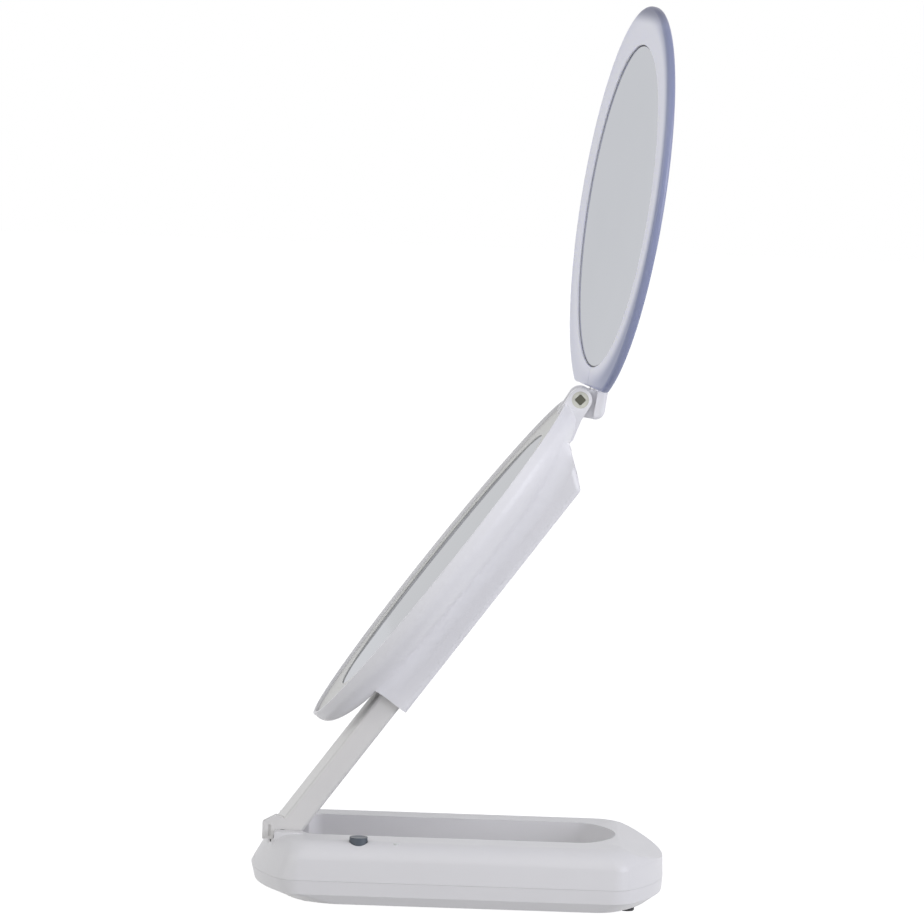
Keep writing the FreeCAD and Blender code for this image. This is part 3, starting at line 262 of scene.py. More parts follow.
def colours():
    """The colours that a user may change."""
    return bpy.context.scene.mirror_finish


def new_material(name):
    """A node material, its tree and its shader."""
    material = bpy.data.materials.new(name)
    material.use_nodes = True
    tree = material.node_tree
    return material, tree, tree.nodes["Principled BSDF"]


def object_noise(tree, scale, detail):
    """Noise on the piece's own coordinates."""
    place = tree.nodes.new("ShaderNodeTexCoord")
    noise = tree.nodes.new("ShaderNodeTexNoise")
    noise.inputs["Scale"].default_value = scale
    noise.inputs["Detail"].default_value = detail
    tree.links.new(place.outputs["Object"], noise.inputs["Vector"])
    return noise.outputs["Fac"]


def ramp_between(tree, source, low, high):
    """A two-colour ramp over a grey value."""
    ramp = tree.nodes.new("ShaderNodeValToRGB")
    for element, position, colour in zip(ramp.color_ramp.elements, RAMP_ENDS, (low, high)):
        element.position = position
        element.color = (*colour, 1)
    tree.links.new(source, ramp.inputs["Fac"])
    return ramp.outputs["Color"]


def range_between(tree, source, low, high):
    """A grey value spread over a range."""
    spread = tree.nodes.new("ShaderNodeMapRange")
    spread.inputs["To Min"].default_value = low
    spread.inputs["To Max"].default_value = high
    tree.links.new(source, spread.inputs["Value"])
    return spread.outputs["Result"]


def smooth_step(tree, source, span, low=0.0):
    """A value that eases from a low one to 1 while a source runs over a span."""
    step = tree.nodes.new("ShaderNodeMapRange")
    step.interpolation_type = "SMOOTHSTEP"
    step.inputs["From Min"].default_value, step.inputs["From Max"].default_value = span
    step.inputs["To Min"].default_value = low
    tree.links.new(source, step.inputs["Value"])
    return step.outputs["Result"]


def grain_bump(tree, shader, scale, strength, distance):
    """A fine bump from noise."""
    bump = tree.nodes.new("ShaderNodeBump")
    bump.inputs["Strength"].default_value = strength
    bump.inputs["Distance"].default_value = distance
    tree.links.new(object_noise(tree, scale, FINE_DETAIL), bump.inputs["Height"])
    tree.links.new(bump.outputs["Normal"], shader.inputs["Normal"])


def shade(colour, share):
    """A colour made lighter or darker."""
    return tuple(min(1.0, channel * share) for channel in colour)


def mottled(look):
    """A material whose colour and gloss drift a little over the piece."""
    material, tree, shader = new_material(look.title)
    colour = getattr(colours(), look.colour) if isinstance(look.colour, str) else look.colour
    tone = object_noise(tree, look.scale, TONE_DETAIL)
    tree.links.new(
        ramp_between(tree, tone, shade(colour, 1 - look.drift), shade(colour, 1 + look.drift)),
        shader.inputs["Base Color"],
    )
    gloss = object_noise(tree, look.scale * GLOSS_TO_TONE_SCALE, FINE_DETAIL)
    tree.links.new(range_between(tree, gloss, *look.roughness), shader.inputs["Roughness"])
    shader.inputs["Metallic"].default_value = look.metallic
    if look.grain:
        grain_bump(tree, shader, *look.grain)
    if look.scatter:
        weight, radius = look.scatter
        shader.inputs["Subsurface Weight"].default_value = weight
        shader.inputs["Subsurface Radius"].default_value = radius
    return material


def math_node(tree, operation, *values):
    """A maths node over sockets and plain numbers."""
    node = tree.nodes.new("ShaderNodeMath")
    node.operation = operation
    for socket, value in zip(node.inputs, values):
        if isinstance(value, (int, float)):
            socket.default_value = value
        else:
            tree.links.new(value, socket)
    return node.outputs["Value"]


def share_along(tree, place, origin, direction, reach):
    """How far a point lies from an origin along a direction, as a share of a reach."""
    offset = tree.nodes.new("ShaderNodeVectorMath")
    offset.operation = "SUBTRACT"
    offset.inputs[1].default_value = origin
    tree.links.new(place, offset.inputs[0])
    dot = tree.nodes.new("ShaderNodeVectorMath")
    dot.operation = "DOT_PRODUCT"
    dot.inputs[1].default_value = direction / reach
    tree.links.new(offset.outputs["Vector"], dot.inputs[0])
    return dot.outputs["Value"]


def tinted(tree, tone, share, colour):
    """A colour that gives way to another by a share."""
    mix = tree.nodes.new("ShaderNodeMix")
    mix.data_type = "RGBA"
    by_name = {socket.identifier: socket for socket in mix.inputs}
    tree.links.new(share, by_name["Factor_Float"])
    tree.links.new(tone, by_name["A_Color"])
    by_name["B_Color"].default_value = (*colour, 1)
    return next(socket for socket in mix.outputs if socket.identifier == "Result_Color")


def paint_ring_shade(tree, shader):
    """Paints shade on the light ring: a deeper colour at its tip and along its near outer edge
    stands for how the frosted plastic darkens there under the light.
    """
    low, high = node_box("ring_front_cover", RING)
    middle = RING @ ((low + high) / 2)
    half = (high - low) / 2
    place = tree.nodes.new("ShaderNodeTexCoord").outputs["Object"]
    length = share_along(tree, place, middle, RING.col[0].to_3d(), half.x)
    width = share_along(tree, place, middle, RING.col[1].to_3d(), half.y)
    squares = [math_node(tree, "POWER", share, 2) for share in (length, width)]
    radius = math_node(tree, "SQRT", math_node(tree, "ADD", *squares))
    near_edge_shade = math_node(
        tree, "MULTIPLY",
        smooth_step(tree, radius, EDGE_SHADE_SPAN), smooth_step(tree, width, NEAR_SHADE_SPAN, FAR_EDGE_SHADE_SHARE),
    )
    tone = shader.inputs["Base Color"].links[0].from_socket
    tone = tinted(tree, tone, near_edge_shade, colours().light_edge_shade)
    tone = tinted(tree, tone, smooth_step(tree, length, TIP_SHADE_SPAN), colours().light_tip_shade)
    tree.links.new(tone, shader.inputs["Base Color"])


def dim_graze(tree, shader):
    """Makes a mirror dimmer where it is seen at a low angle."""
    shader.inputs["Specular Tint"].default_value = (*colours().mirror_graze, 1)


FINISH_CHANGES = {"light": paint_ring_shade, "mirror": dim_graze}


def finish(name):
    """The material of that name, made once."""
    if name not in MATERIALS:
        material = MATERIALS[name] = mottled(FINISHES[name])
        if name in FINISH_CHANGES:
            tree = material.node_tree
            FINISH_CHANGES[name](tree, tree.nodes["Principled BSDF"])
    return MATERIALS[name]


# Mesh helpers

WELD_DISTANCE = 0.002 * MM
MOULDED_CREASE = math.radians(28)
BLEND_CREASE = math.radians(40)


def piece_from_mesh(name, mesh, material, body, slot, *nodes):
    """A finished piece at the origin that rides on a body and stands for CAD nodes."""
    piece = bpy.data.objects.new(name, mesh)
    bpy.context.scene.collection.objects.link(piece)
    mesh.materials.clear()
    mesh.materials.append(finish(material))
    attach(piece, body)
    if nodes:
        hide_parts(*nodes)
    return piece


def welded_copy(node):
    """A CAD node's mesh with its loose triangles joined, as a bmesh."""
    work = bmesh.new()
    work.from_mesh(frame["nodes"][node].data)
    bmesh.ops.remove_doubles(work, verts=work.verts, dist=WELD_DISTANCE)
    return work


def smoothed(work, angle):
    """Smooth faces, with edges sharper than an angle marked."""
    for face in work.faces:
        face.smooth = True
    for edge in work.edges:
        if len(edge.link_faces) == 2:
            edge.smooth = edge.calc_face_angle(0) < angle


def dressed(node, material, body, slot, shape=None):
    """A smooth copy of a moulded CAD node, after a change of shape where one is given."""
    work = welded_copy(node)
    if shape:
        shape(work)
    smoothed(work, MOULDED_CREASE)
    mesh = bpy.data.meshes.new(node + "_skin")
    work.to_mesh(mesh)
    work.free()
    piece = piece_from_mesh(node + "_skin", mesh, material, body, slot, node)
    weighted = piece.modifiers.new("even_shading", "WEIGHTED_NORMAL")
    weighted.keep_sharp = True
    return piece


def finish_node(node, material):
    """Gives a CAD node that stays its material."""
    mesh = frame["nodes"][node].data
    mesh.materials.clear()
    mesh.materials.append(finish(material))


# Screws, made by a node tree

SCREW_INPUTS = (
    "Head Radius", "Head Height", "Shank Radius", "Length", "Slot Width", "Slot Depth",
)
SCREW_TREE = "cross_slotted_screws"
HEAD_EDGE_SHARE = 0.8
HEAD_GAP = 0.01 * MM
HEAD_TAPER = 0.84
HEAD_SIDES = 32
SHANK_SIDES = 20
SLOT_SPAN = 1.1
# A slot's cutter is centred on the head's face; two depths keep the floors apart.
SLOT_CUTS = (2.0, 2.2)


def islands(node):
    """The separate lumps of a CAD node, each as a list of corners."""
    work = welded_copy(node)
    waiting = dict.fromkeys(work.verts)
    lumps = []
    while waiting:
        stack = [waiting.popitem()[0]]
        lump = []
        while stack:
            corner = stack.pop()
            lump.append(corner.co.copy())
            for edge in corner.link_edges:
                other = edge.other_vert(corner)
                if other in waiting:
                    del waiting[other]
                    stack.append(other)
        lumps.append(lump)
    work.free()
    return lumps


def measured_screw(lump, axis):
    """The head's place, the outward direction and the sizes of a screw along an axis."""
    middle = sum(lump, Vector()) / len(lump)

    def off_axis(point):
        away = point - middle
        return (away - away.dot(axis) * axis).length

    widest = max(lump, key=off_axis)
    if (widest - middle).dot(axis) < 0:
        axis = -axis
    heights = [(point - middle).dot(axis) for point in lump]
    head_radius = off_axis(widest)
    edge_radius = HEAD_EDGE_SHARE * head_radius
    head_low = min(h for h, point in zip(heights, lump) if off_axis(point) > edge_radius)
    below_head = head_low - HEAD_GAP
    shank_radius = max(off_axis(point) for h, point in zip(heights, lump) if h < below_head)
    sizes = {
        "Head Radius": head_radius,
        "Head Height": max(heights) - head_low,
        "Shank Radius": shank_radius,
        "Length": max(heights) - min(heights),
    }
    return middle + max(heights) * axis, axis, sizes


def screw_tree():
    """A node tree that puts a cross-slotted screw at every point of a mesh."""
    tree = bpy.data.node_groups.new(SCREW_TREE, "GeometryNodeTree")
    face = tree.interface
    face.new_socket(name="Places", in_out="INPUT", socket_type="NodeSocketGeometry")
    for name in SCREW_INPUTS:
        face.new_socket(name=name, in_out="INPUT", socket_type="NodeSocketFloat")
    face.new_socket(name="Turn", in_out="INPUT", socket_type="NodeSocketVector")
    face.new_socket(name="Material", in_out="INPUT", socket_type="NodeSocketMaterial")
    face.new_socket(name="Screws", in_out="OUTPUT", socket_type="NodeSocketGeometry")
    given = tree.nodes.new("NodeGroupInput").outputs
    result = tree.nodes.new("NodeGroupOutput")
    link = tree.links.new

    def placed(geometry, height):
        move = tree.nodes.new("GeometryNodeTransform")
        lift = tree.nodes.new("ShaderNodeCombineXYZ")
        link(height, lift.inputs["Z"])
        link(geometry, move.inputs["Geometry"])
        link(lift.outputs["Vector"], move.inputs["Translation"])
        return move.outputs["Geometry"]

    head = tree.nodes.new("GeometryNodeMeshCone")
    head.inputs["Vertices"].default_value = HEAD_SIDES
    link(math_node(tree, "MULTIPLY", given["Head Radius"], HEAD_TAPER), head.inputs["Radius Top"])
    link(given["Head Radius"], head.inputs["Radius Bottom"])
    link(given["Head Height"], head.inputs["Depth"])
    slotted = placed(head.outputs["Mesh"], math_node(tree, "MULTIPLY", given["Head Height"], -1.0))
    slot_length = math_node(tree, "MULTIPLY", given["Head Radius"], SLOT_SPAN)
    sides = (slot_length, given["Slot Width"])
    for (long_x, long_y), deep in zip((sides, sides[::-1]), SLOT_CUTS):
        size = tree.nodes.new("ShaderNodeCombineXYZ")
        link(long_x, size.inputs["X"])
        link(long_y, size.inputs["Y"])
        link(math_node(tree, "MULTIPLY", given["Slot Depth"], deep), size.inputs["Z"])
        bar = tree.nodes.new("GeometryNodeMeshCube")
        link(size.outputs["Vector"], bar.inputs["Size"])
        carve = tree.nodes.new("GeometryNodeMeshBoolean")
        carve.operation = "DIFFERENCE"
        link(slotted, carve.inputs["Mesh 1"])
        link(bar.outputs["Mesh"], carve.inputs["Mesh 2"])
        slotted = carve.outputs["Mesh"]
    shank = tree.nodes.new("GeometryNodeMeshCylinder")
    shank.inputs["Vertices"].default_value = SHANK_SIDES
    link(given["Shank Radius"], shank.inputs["Radius"])
    shank_length = math_node(tree, "SUBTRACT", given["Length"], given["Head Height"])
    link(shank_length, shank.inputs["Depth"])
    half_shank = math_node(tree, "MULTIPLY", shank_length, 0.5)
    shank_middle = math_node(tree, "ADD", given["Head Height"], half_shank)
    shank_at = placed(shank.outputs["Mesh"], math_node(tree, "MULTIPLY", shank_middle, -1.0))
    screw = tree.nodes.new("GeometryNodeJoinGeometry")
    link(slotted, screw.inputs["Geometry"])
    link(shank_at, screw.inputs["Geometry"])
    spread = tree.nodes.new("GeometryNodeInstanceOnPoints")
    link(given["Places"], spread.inputs["Points"])
    link(screw.outputs["Geometry"], spread.inputs["Instance"])
    turn = tree.nodes.new("FunctionNodeEulerToRotation")
    link(given["Turn"], turn.inputs["Euler"])
    link(turn.outputs["Rotation"], spread.inputs["Rotation"])
    real = tree.nodes.new("GeometryNodeRealizeInstances")
    link(spread.outputs["Instances"], real.inputs["Geometry"])
    paint = tree.nodes.new("GeometryNodeSetMaterial")
    link(real.outputs["Geometry"], paint.inputs["Geometry"])
    link(given["Material"], paint.inputs["Material"])
    link(paint.outputs["Geometry"], result.inputs["Screws"])
    return tree


def screws(node, axis, body):
    """Slotted screws in the places of a CAD node's plain ones."""
    detail = bpy.context.scene.mirror_detail
    measured = [measured_screw(lump, Vector(axis).normalized()) for lump in islands(node)]
    _, outward, sizes = measured[0]
    sizes.update({"Slot Width": detail.recess_width, "Slot Depth": detail.recess_depth})
    places = bpy.data.meshes.new(node + "_places")
    places.from_pydata([place for place, _, _ in measured], [], [])
    holder = bpy.data.objects.new(node + "_slotted", places)
    bpy.context.scene.collection.objects.link(holder)
    tree = bpy.data.node_groups.get(SCREW_TREE) or screw_tree()
    modifier = holder.modifiers.new("screws", "NODES")
    modifier.node_group = tree
    sockets = {
        item.name: item.identifier for item in tree.interface.items_tree if item.in_out == "INPUT"
    }
    for name, value in sizes.items():
        modifier[sockets[name]] = value
    modifier[sockets["Turn"]] = tuple(outward.to_track_quat("Z", "Y").to_euler())
    modifier[sockets["Material"]] = finish("steel")
    seen = holder.evaluated_get(bpy.context.evaluated_depsgraph_get())
    mesh = bpy.data.meshes.new_from_object(seen)
    bpy.data.objects.remove(holder)
    return piece_from_mesh(node + "_slotted", mesh, "steel", body, "screw_steel", node)


# Forms that only the looks have

BLEND_STEPS = 96
BLEND_ARC = 12
BLEND_BITE = 0.1 * MM
BLEND_END_GAP = 0.05 * MM
LEAST_BLEND = 0.1
BLEND_SHRINK = 0.9
BLEND_MARGIN = 1.15
SOCKET_SHADE_PLATE = 0.1 * MM
SOCKET_SHARE = 0.9
FLAT_SHARE = 0.99
ACROSS_AXLE = Vector((1, 0, 1))
SEAM_STEPS = 160
SEAM_RISE = 0.02 * MM
SEAM_FOOT = 0.05 * MM
SEAM_FAR_SHADE_SHARE = 0.2


def dish_blend(side, reach):
    """A soft fillet between the underside of the dish and one side of its sleeve."""
    dish = frame["nodes"]["lower_bowl"].data
    surface = BVHTree.FromPolygons(
        node_points("lower_bowl", ARM), [tuple(face.vertices) for face in dish.polygons]
    )
    low, high = node_box("sleeve", ARM)
    wall = high.y * side

    def underside(x, y):
        hit = surface.ray_cast(Vector((x, y, low.z)), Vector((0, 0, 1)))[0]
        return hit.z if hit else None

    points = node_points("sleeve", ARM)
    back_end = max(point.x for point in points if point.z < low.z + MM)
    front_rise = min(point.z for point in points if point.x > high.x - BLEND_BITE)
    slope = (high.x - back_end) / (front_rise - low.z)

    def within_end(point):
        """Keeps a point behind the sleeve's slanted end."""
        point.x = min(point.x, back_end + slope * (point.z - low.z) - BLEND_END_GAP)
        return point

    corners = []
    faces = []
    row = BLEND_ARC + 2
    for step in range(BLEND_STEPS + 1):
        x = low.x + (high.x - low.x) * step / BLEND_STEPS
        at_wall = underside(x, wall)
        span = reach
        while at_wall is not None and span > LEAST_BLEND * reach and (
            underside(x, wall + side * span * BLEND_MARGIN) is None
            or underside(x, wall + side * span) > at_wall + span
        ):
            span *= BLEND_SHRINK
        if at_wall is None or span <= LEAST_BLEND * reach:
            break
        start = Vector((x, wall + side * span, underside(x, wall + side * span)))
        corner = Vector((x, wall, at_wall))
        end = Vector((x, wall, at_wall - span))
        corners.append(within_end(corner + Vector((0, -side, 1)) * BLEND_BITE))
        for turn in range(BLEND_ARC + 1):
            share = turn / BLEND_ARC
            curve = start * (1 - share) ** 2 + corner * 2 * share * (1 - share) + end * share ** 2
            corners.append(within_end(curve))
    rows = len(corners) // row
    for step in range(rows - 1):
        for turn in range(row):
            first = step * row + turn
            after = step * row + (turn + 1) % row
            faces.append((first, after, after + row, first + row))
    faces.append(tuple(range(row)))
    faces.append(tuple((rows - 1) * row + turn for turn in range(row)))
    work = bmesh.new()
    made = [work.verts.new(ARM @ corner) for corner in corners]
    for face in faces:
        work.faces.new([made[index] for index in face])
    bmesh.ops.recalc_face_normals(work, faces=work.faces)
    smoothed(work, BLEND_CREASE)
    mesh = bpy.data.meshes.new("dish_blend")
    work.to_mesh(mesh)
    work.free()
    name = "dish_blend_far" if side > 0 else "dish_blend_near"
    return piece_from_mesh(name, mesh, "panel_shell", "lower_panel", "white_shell")


def axle_sockets(depth):
    """Dark plates of painted shade a little way into the square sockets of the tilt axle, where the
    hollows lie in shade.
    """
    work = welded_copy("tilt_axle")
    face_y = max(corner.co.y for corner in work.verts)
    axis = Vector(JOINTS["panel_tilt"]["pos_m"])

    def off_axle(corner):
        return ((corner.co - axis) * ACROSS_AXLE).length

    socket_radius = SOCKET_SHARE * max(off_axle(corner) for corner in work.verts)
    floors = [
        face for face in work.faces
        if abs(face.normal.y) > FLAT_SHARE and abs(face.calc_center_median().y) < face_y - depth
        and all(off_axle(corner) < socket_radius for corner in face.verts)
    ]
    others = [face for face in work.faces if face not in floors]
    bmesh.ops.delete(work, geom=others, context="FACES")
    for corner in work.verts:
        corner.co.y = math.copysign(face_y - depth, corner.co.y)
    bmesh.ops.recalc_face_normals(work, faces=work.faces)
    bmesh.ops.solidify(work, geom=work.faces[:], thickness=SOCKET_SHADE_PLATE)
    mesh = bpy.data.meshes.new("axle_sockets")
    work.to_mesh(mesh)
    work.free()
    return piece_from_mesh("axle_sockets", mesh, "socket", "lower_panel", "pin_steel")


def mirror_seam(name, node, place, body, width):
    """A thin dark ring of painted shadow set into the edge of a mirror's face, where the gap round
    the mirror lies in shade; it is wider on its near side, where the shade is deeper.
    """
    low, high = node_box(node, place)
    middle = (low + high) / 2
    half = (high - low) / 2
    top, foot = high.z + SEAM_RISE, high.z - SEAM_FOOT
    work = bmesh.new()
    rings = []
    for step in range(SEAM_STEPS):
        turn = math.tau * step / SEAM_STEPS
        near_shade_share = 0.5 - 0.5 * math.sin(turn)
        drawn_in = width * (SEAM_FAR_SHADE_SHARE + (1 - SEAM_FAR_SHADE_SHARE) * near_shade_share)
        ring = []
        for inset, z in ((0, top), (drawn_in, top), (drawn_in, foot), (0, foot)):
            x = middle.x + (half.x - inset) * math.cos(turn)
            y = middle.y + (half.y - inset) * math.sin(turn)
            ring.append(work.verts.new(place @ Vector((x, y, z))))
        rings.append(ring)
    for step in range(SEAM_STEPS):
        first, after = rings[step], rings[(step + 1) % SEAM_STEPS]
        for side in range(len(first)):
            other = (side + 1) % len(first)
            work.faces.new((first[side], after[side], after[other], first[other]))
    bmesh.ops.recalc_face_normals(work, faces=work.faces)
    mesh = bpy.data.meshes.new(name)
    work.to_mesh(mesh)
    work.free()
    return piece_from_mesh(name, mesh, "seam", body, "dark_rubber")


# Operators

SENSOR_WIDTH = 36.0
VIEW_REACH = 50.0
FILL_COLOUR = (0.93, 0.94, 1.0, 1)
WHITE = (1, 1, 1, 1)
FLOOR_REACH = 6.0
FLOOR_COLOUR = (0.4, 0.4, 0.4, 1)
FLOOR_ROUGHNESS = 0.9
FLOOR_SEEN_GLOW = 0.92
SIDE_BAND = 0.05 * MM
RIM_BAND = 0.02 * MM
LAMP_TARGET = Vector((0.0, 0.0, 0.15))
WARM_LAMP = (1.0, 0.99, 0.98)
COOL_LAMP = (0.91, 0.91, 1.0)


def seen_by_eye(tree):
    """One for rays from the camera, a reflection or a refraction."""
    path = tree.nodes.new("ShaderNodeLightPath").outputs
    mirrored = math_node(tree, "MAXIMUM", path["Is Camera Ray"], path["Is Glossy Ray"])
    return math_node(tree, "MAXIMUM", mirrored, path["Is Transmission Ray"])


class MIRROR_OT_stage(bpy.types.Operator):
    """Sets up the camera, the floor and the light"""
    bl_idname = "mirror.stage"
    bl_label = "Stage"

    def execute(self, context):
        scene = context.scene
        stage = scene.mirror_stage
        scene.view_settings.view_transform = "Standard"
        self.add_camera(scene, stage)
        self.add_world(scene, stage)
        self.add_floor(scene, stage)
        self.add_lights(scene, stage)
        return {"FINISHED"}

    def add_camera(self, scene, stage):
        data = bpy.data.cameras.new("photo_camera")
        data.lens = stage.lens
        data.sensor_width = SENSOR_WIDTH
        data.clip_end = VIEW_REACH
        middle = PHOTO_PIXELS / 2
        data.shift_x = (middle - stage.target_pixel[0]) / PHOTO_PIXELS
        data.shift_y = (stage.target_pixel[1] - middle) / PHOTO_PIXELS
        camera = bpy.data.objects.new("photo_camera", data)
        scene.collection.objects.link(camera)
        eye = Vector(stage.camera_eye)
        view = Vector(stage.camera_target) - eye
        aimed = view.to_track_quat("-Z", "Y").to_matrix().to_4x4()
        roll = Matrix.Rotation(stage.camera_roll, 4, "Z")
        camera.matrix_world = Matrix.Translation(eye) @ aimed @ roll
        scene.camera = camera

    def add_world(self, scene, stage):
        world = bpy.data.worlds.new("pale_studio")
        world.use_nodes = True
        tree = world.node_tree
        background = tree.nodes["Background"]
        background.inputs["Color"].default_value = FILL_COLOUR
        background.inputs["Strength"].default_value = stage.fill
        seen = tree.nodes.new("ShaderNodeBackground")
        seen.inputs["Color"].default_value = WHITE
        seen.inputs["Strength"].default_value = 1.0
        mix = tree.nodes.new("ShaderNodeMixShader")
        tree.links.new(seen_by_eye(tree), mix.inputs["Fac"])
        tree.links.new(background.outputs["Background"], mix.inputs[1])
        tree.links.new(seen.outputs["Background"], mix.inputs[2])
        tree.links.new(mix.outputs["Shader"], tree.nodes["World Output"].inputs["Surface"])
        scene.world = world

    def add_floor(self, scene, stage):
        mesh = bpy.data.meshes.new("pale_floor")
        sides = ((-1, -1), (1, -1), (1, 1), (-1, 1))
        corners = [(x * FLOOR_REACH, y * FLOOR_REACH, 0) for x, y in sides]
        mesh.from_pydata(corners, [], [range(len(corners))])
        floor = bpy.data.objects.new("pale_floor", mesh)
        scene.collection.objects.link(floor)
        material, tree, shader = new_material("pale_floor")
        shader.inputs["Base Color"].default_value = FLOOR_COLOUR
        shader.inputs["Roughness"].default_value = FLOOR_ROUGHNESS
        shader.inputs["Specular IOR Level"].default_value = 0.0
        glow = tree.nodes.new("ShaderNodeEmission")
        glow.inputs["Color"].default_value = WHITE
        strength = range_between(tree, seen_by_eye(tree), stage.floor_glow, FLOOR_SEEN_GLOW)
        tree.links.new(strength, glow.inputs["Strength"])
        add = tree.nodes.new("ShaderNodeAddShader")
        tree.links.new(shader.outputs["BSDF"], add.inputs[0])
        tree.links.new(glow.outputs["Emission"], add.inputs[1])
        tree.links.new(add.outputs["Shader"], tree.nodes["Material Output"].inputs["Surface"])
        mesh.materials.append(material)

    def add_lights(self, scene, stage):
        panels = (
            ("left_panel", (-1.4, -1.0, 0.7), 1.2, stage.left_power, WARM_LAMP),
            ("right_panel", (1.4, -0.78, 0.42), 1.0, stage.right_power, COOL_LAMP),
            ("front_panel", (0.0, -1.6, 1.5), 1.2, stage.front_power, WARM_LAMP),
        )
        for name, place, width, power, colour in panels:
            data = bpy.data.lights.new(name, "AREA")
            data.shape = "SQUARE"
            data.size = width
            data.energy = power
            data.color = colour
            lamp = bpy.data.objects.new(name, data)
            aimed = (LAMP_TARGET - Vector(place)).to_track_quat("-Z", "Y").to_matrix().to_4x4()
            lamp.matrix_world = Matrix.Translation(place) @ aimed
            scene.collection.objects.link(lamp)


class MIRROR_OT_base(bpy.types.Operator):
    """Dresses the two shells of the base and the battery doors"""
    bl_idname = "mirror.base"
    bl_label = "Base"

    def execute(self, context):
        dressed("base_upper_shell", "shell", "base", "white_shell", shape=self.close_parting)
        dressed("base_lower_shell", "shell", "base", "white_shell")
        dressed("battery_door_near", "shell", "door_near", "white_shell")
        dressed("battery_door_far", "shell", "door_far", "white_shell")
        return {"FINISHED"}

    def close_parting(self, work):
        """Draws the lower rim of the upper shell down, so that the parting line stays fine."""
        drop = bpy.context.scene.mirror_detail.parting_close
        reach = max(corner.co.y for corner in work.verts)
        rim = min(corner.co.z for corner in work.verts if corner.co.y > reach - SIDE_BAND)
        for corner in work.verts:
            if abs(corner.co.z - rim) < RIM_BAND:
                corner.co.z -= drop


class MIRROR_OT_base_fittings(bpy.types.Operator):
    """Finishes the feet, the button, the indicator and what lies inside the base"""
    bl_idname = "mirror.base_fittings"
    bl_label = "Base fittings"

    def execute(self, context):
        dressed("base_feet", "rubber", "base", "dark_rubber")
        dressed("power_button", "button", "button", "button_grey")
        dressed("indicator_lens", "lens", "base", "lens_clear")
        inner = {
            "battery_cells": "cell", "battery_contacts": "nickel",
            "switch_board": "board", "tact_switch": "switch",
            "hinge_pin": "steel", "hinge_washers": "washer",
        }
        for node, material in inner.items():
            finish_node(node, material)
        screws("base_screws", (0, 0, 1), "base")
        screws("board_screws", (0, 0, 1), "base")
        return {"FINISHED"}


class MIRROR_OT_arm(bpy.types.Operator):
    """Dresses the arm, its back cover and its pads"""
    bl_idname = "mirror.arm"
    bl_label = "Arm"

    def execute(self, context):
        # The arm and its cover wear the white shell painted darker, as painted shade.
        dressed("arm_channel", "arm_shell", "arm", "white_shell")
        dressed("arm_back_cover", "arm_shell", "arm", "white_shell")
        screws("arm_cover_screws", ARM.col[2].to_3d(), "arm")
        finish_node("slide_pads", "washer")
        return {"FINISHED"}


class MIRROR_OT_lower_panel(bpy.types.Operator):
    """Dresses the lower dish, its sleeve and its mirror"""
    bl_idname = "mirror.lower_panel"
    bl_label = "Lower panel"

    def execute(self, context):
        for node in ("lower_bowl", "sleeve", "sleeve_end_plug"):
            # The dish, sleeve and plug wear the white shell painted lighter, as painted light.
            dressed(node, "panel_shell", "lower_panel", "white_shell")
        # The bezel wears the white shell painted darker, as painted shade.
        dressed("lower_bezel", "bezel_shell", "lower_panel", "white_shell")
        dressed("lower_mirror", "mirror", "lower_panel", "silver_mirror")
        dressed("tilt_axle", "axle", "lower_panel", "pin_steel")
        axle_sockets(context.scene.mirror_detail.socket_shade_depth)
        finish_node("lower_mirror_tray", "panel_shell")
        screws("sleeve_screws", ARM.col[2].to_3d(), "lower_panel")
        for side in (-1, 1):
            dish_blend(side, context.scene.mirror_detail.blend_reach)
        finish_node("tilt_washers", "washer")
        return {"FINISHED"}


class MIRROR_OT_neck(bpy.types.Operator):
    """Dresses the neck between the panels"""
    bl_idname = "mirror.neck"
    bl_label = "Neck"

    def execute(self, context):
        dressed("neck_block", "panel_shell", "neck", "white_shell")
        finish_node("swivel_bush", "brass")
        return {"FINISHED"}


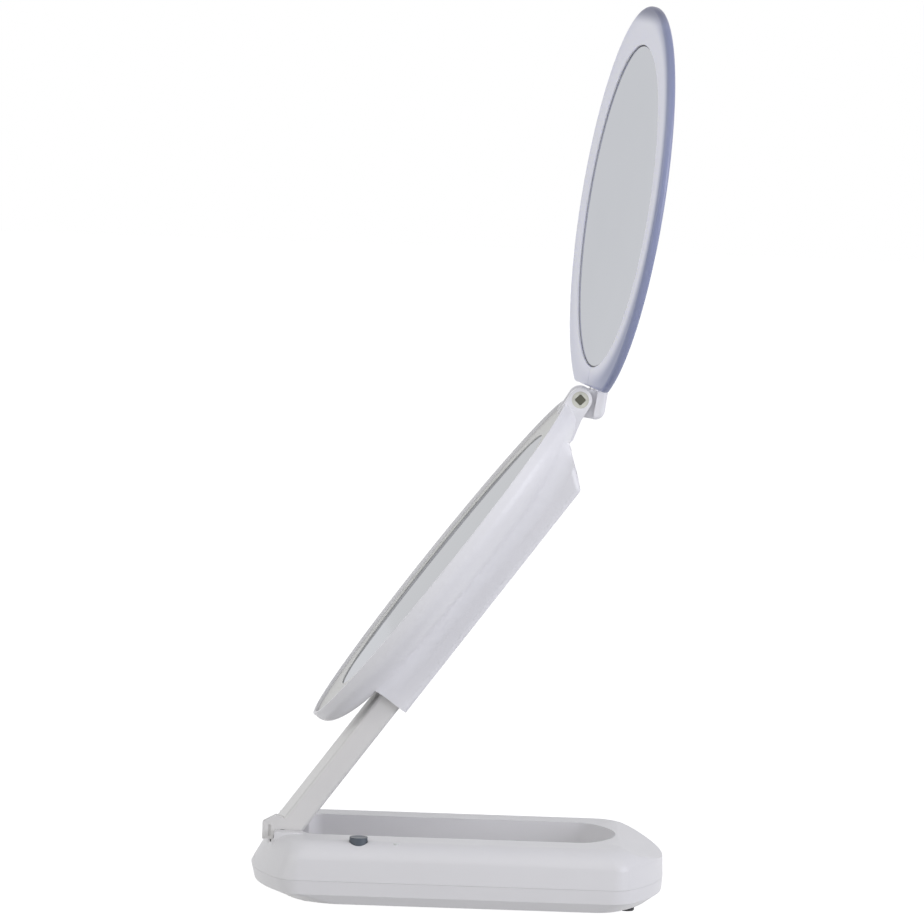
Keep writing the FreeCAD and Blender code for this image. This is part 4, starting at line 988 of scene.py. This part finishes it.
class MIRROR_OT_light_panel(bpy.types.Operator):
    """Dresses the light ring and its mirror"""
    bl_idname = "mirror.light_panel"
    bl_label = "Light panel"

    def execute(self, context):
        for node in ("ring_front_cover", "ring_rear_cover"):
            dressed(node, "light", "light_panel", "frosted_light")
        dressed("upper_mirror", "mirror", "light_panel", "silver_mirror")
        inner = {
            "mirror_backing_plate": "sheet", "led_board": "led_board", "leds": "led",
            "swivel_shaft": "steel", "swivel_clip": "steel",
        }
        for node, material in inner.items():
            finish_node(node, material)
        screws("ring_screws", RING.col[2].to_3d(), "light_panel")
        # Painted shadow round the upper mirror, wider on its near side.
        width = context.scene.mirror_detail.seam_shadow_width
        mirror_seam("upper_mirror_seam", "upper_mirror", RING, "light_panel", width)
        return {"FINISHED"}


class MIRROR_PT_panel(bpy.types.Panel):
    """Lists the steps that build the mirror"""
    bl_idname = "MIRROR_PT_panel"
    bl_label = "Makeup Mirror"
    bl_space_type = "VIEW_3D"
    bl_region_type = "UI"
    bl_category = "Mirror"

    def draw(self, context):
        for setting, group in SETTINGS.items():
            column = self.layout.column(align=True)
            for name in group.__annotations__:
                column.prop(getattr(context.scene, setting), name)
        for operator in BUILD_ORDER:
            self.layout.operator(operator.bl_idname)


BUILD_ORDER = (
    MIRROR_OT_stage,
    MIRROR_OT_base,
    MIRROR_OT_base_fittings,
    MIRROR_OT_arm,
    MIRROR_OT_lower_panel,
    MIRROR_OT_neck,
    MIRROR_OT_light_panel,
)
SETTINGS = {
    "mirror_stage": MirrorStage, "mirror_finish": MirrorFinish, "mirror_detail": MirrorDetail,
}
CLASSES = tuple(SETTINGS.values()) + BUILD_ORDER + (MIRROR_PT_panel,)


def register():
    for item in CLASSES:
        bpy.utils.register_class(item)
    for name, group in SETTINGS.items():
        setattr(bpy.types.Scene, name, PointerProperty(type=group))


def unregister():
    for name in SETTINGS:
        delattr(bpy.types.Scene, name)
    for item in reversed(CLASSES):
        bpy.utils.unregister_class(item)


def main():
    register()
    for operator in BUILD_ORDER:
        group, name = operator.bl_idname.split(".")
        getattr(getattr(bpy.ops, group), name)()


if __name__ == "__main__":
    main()
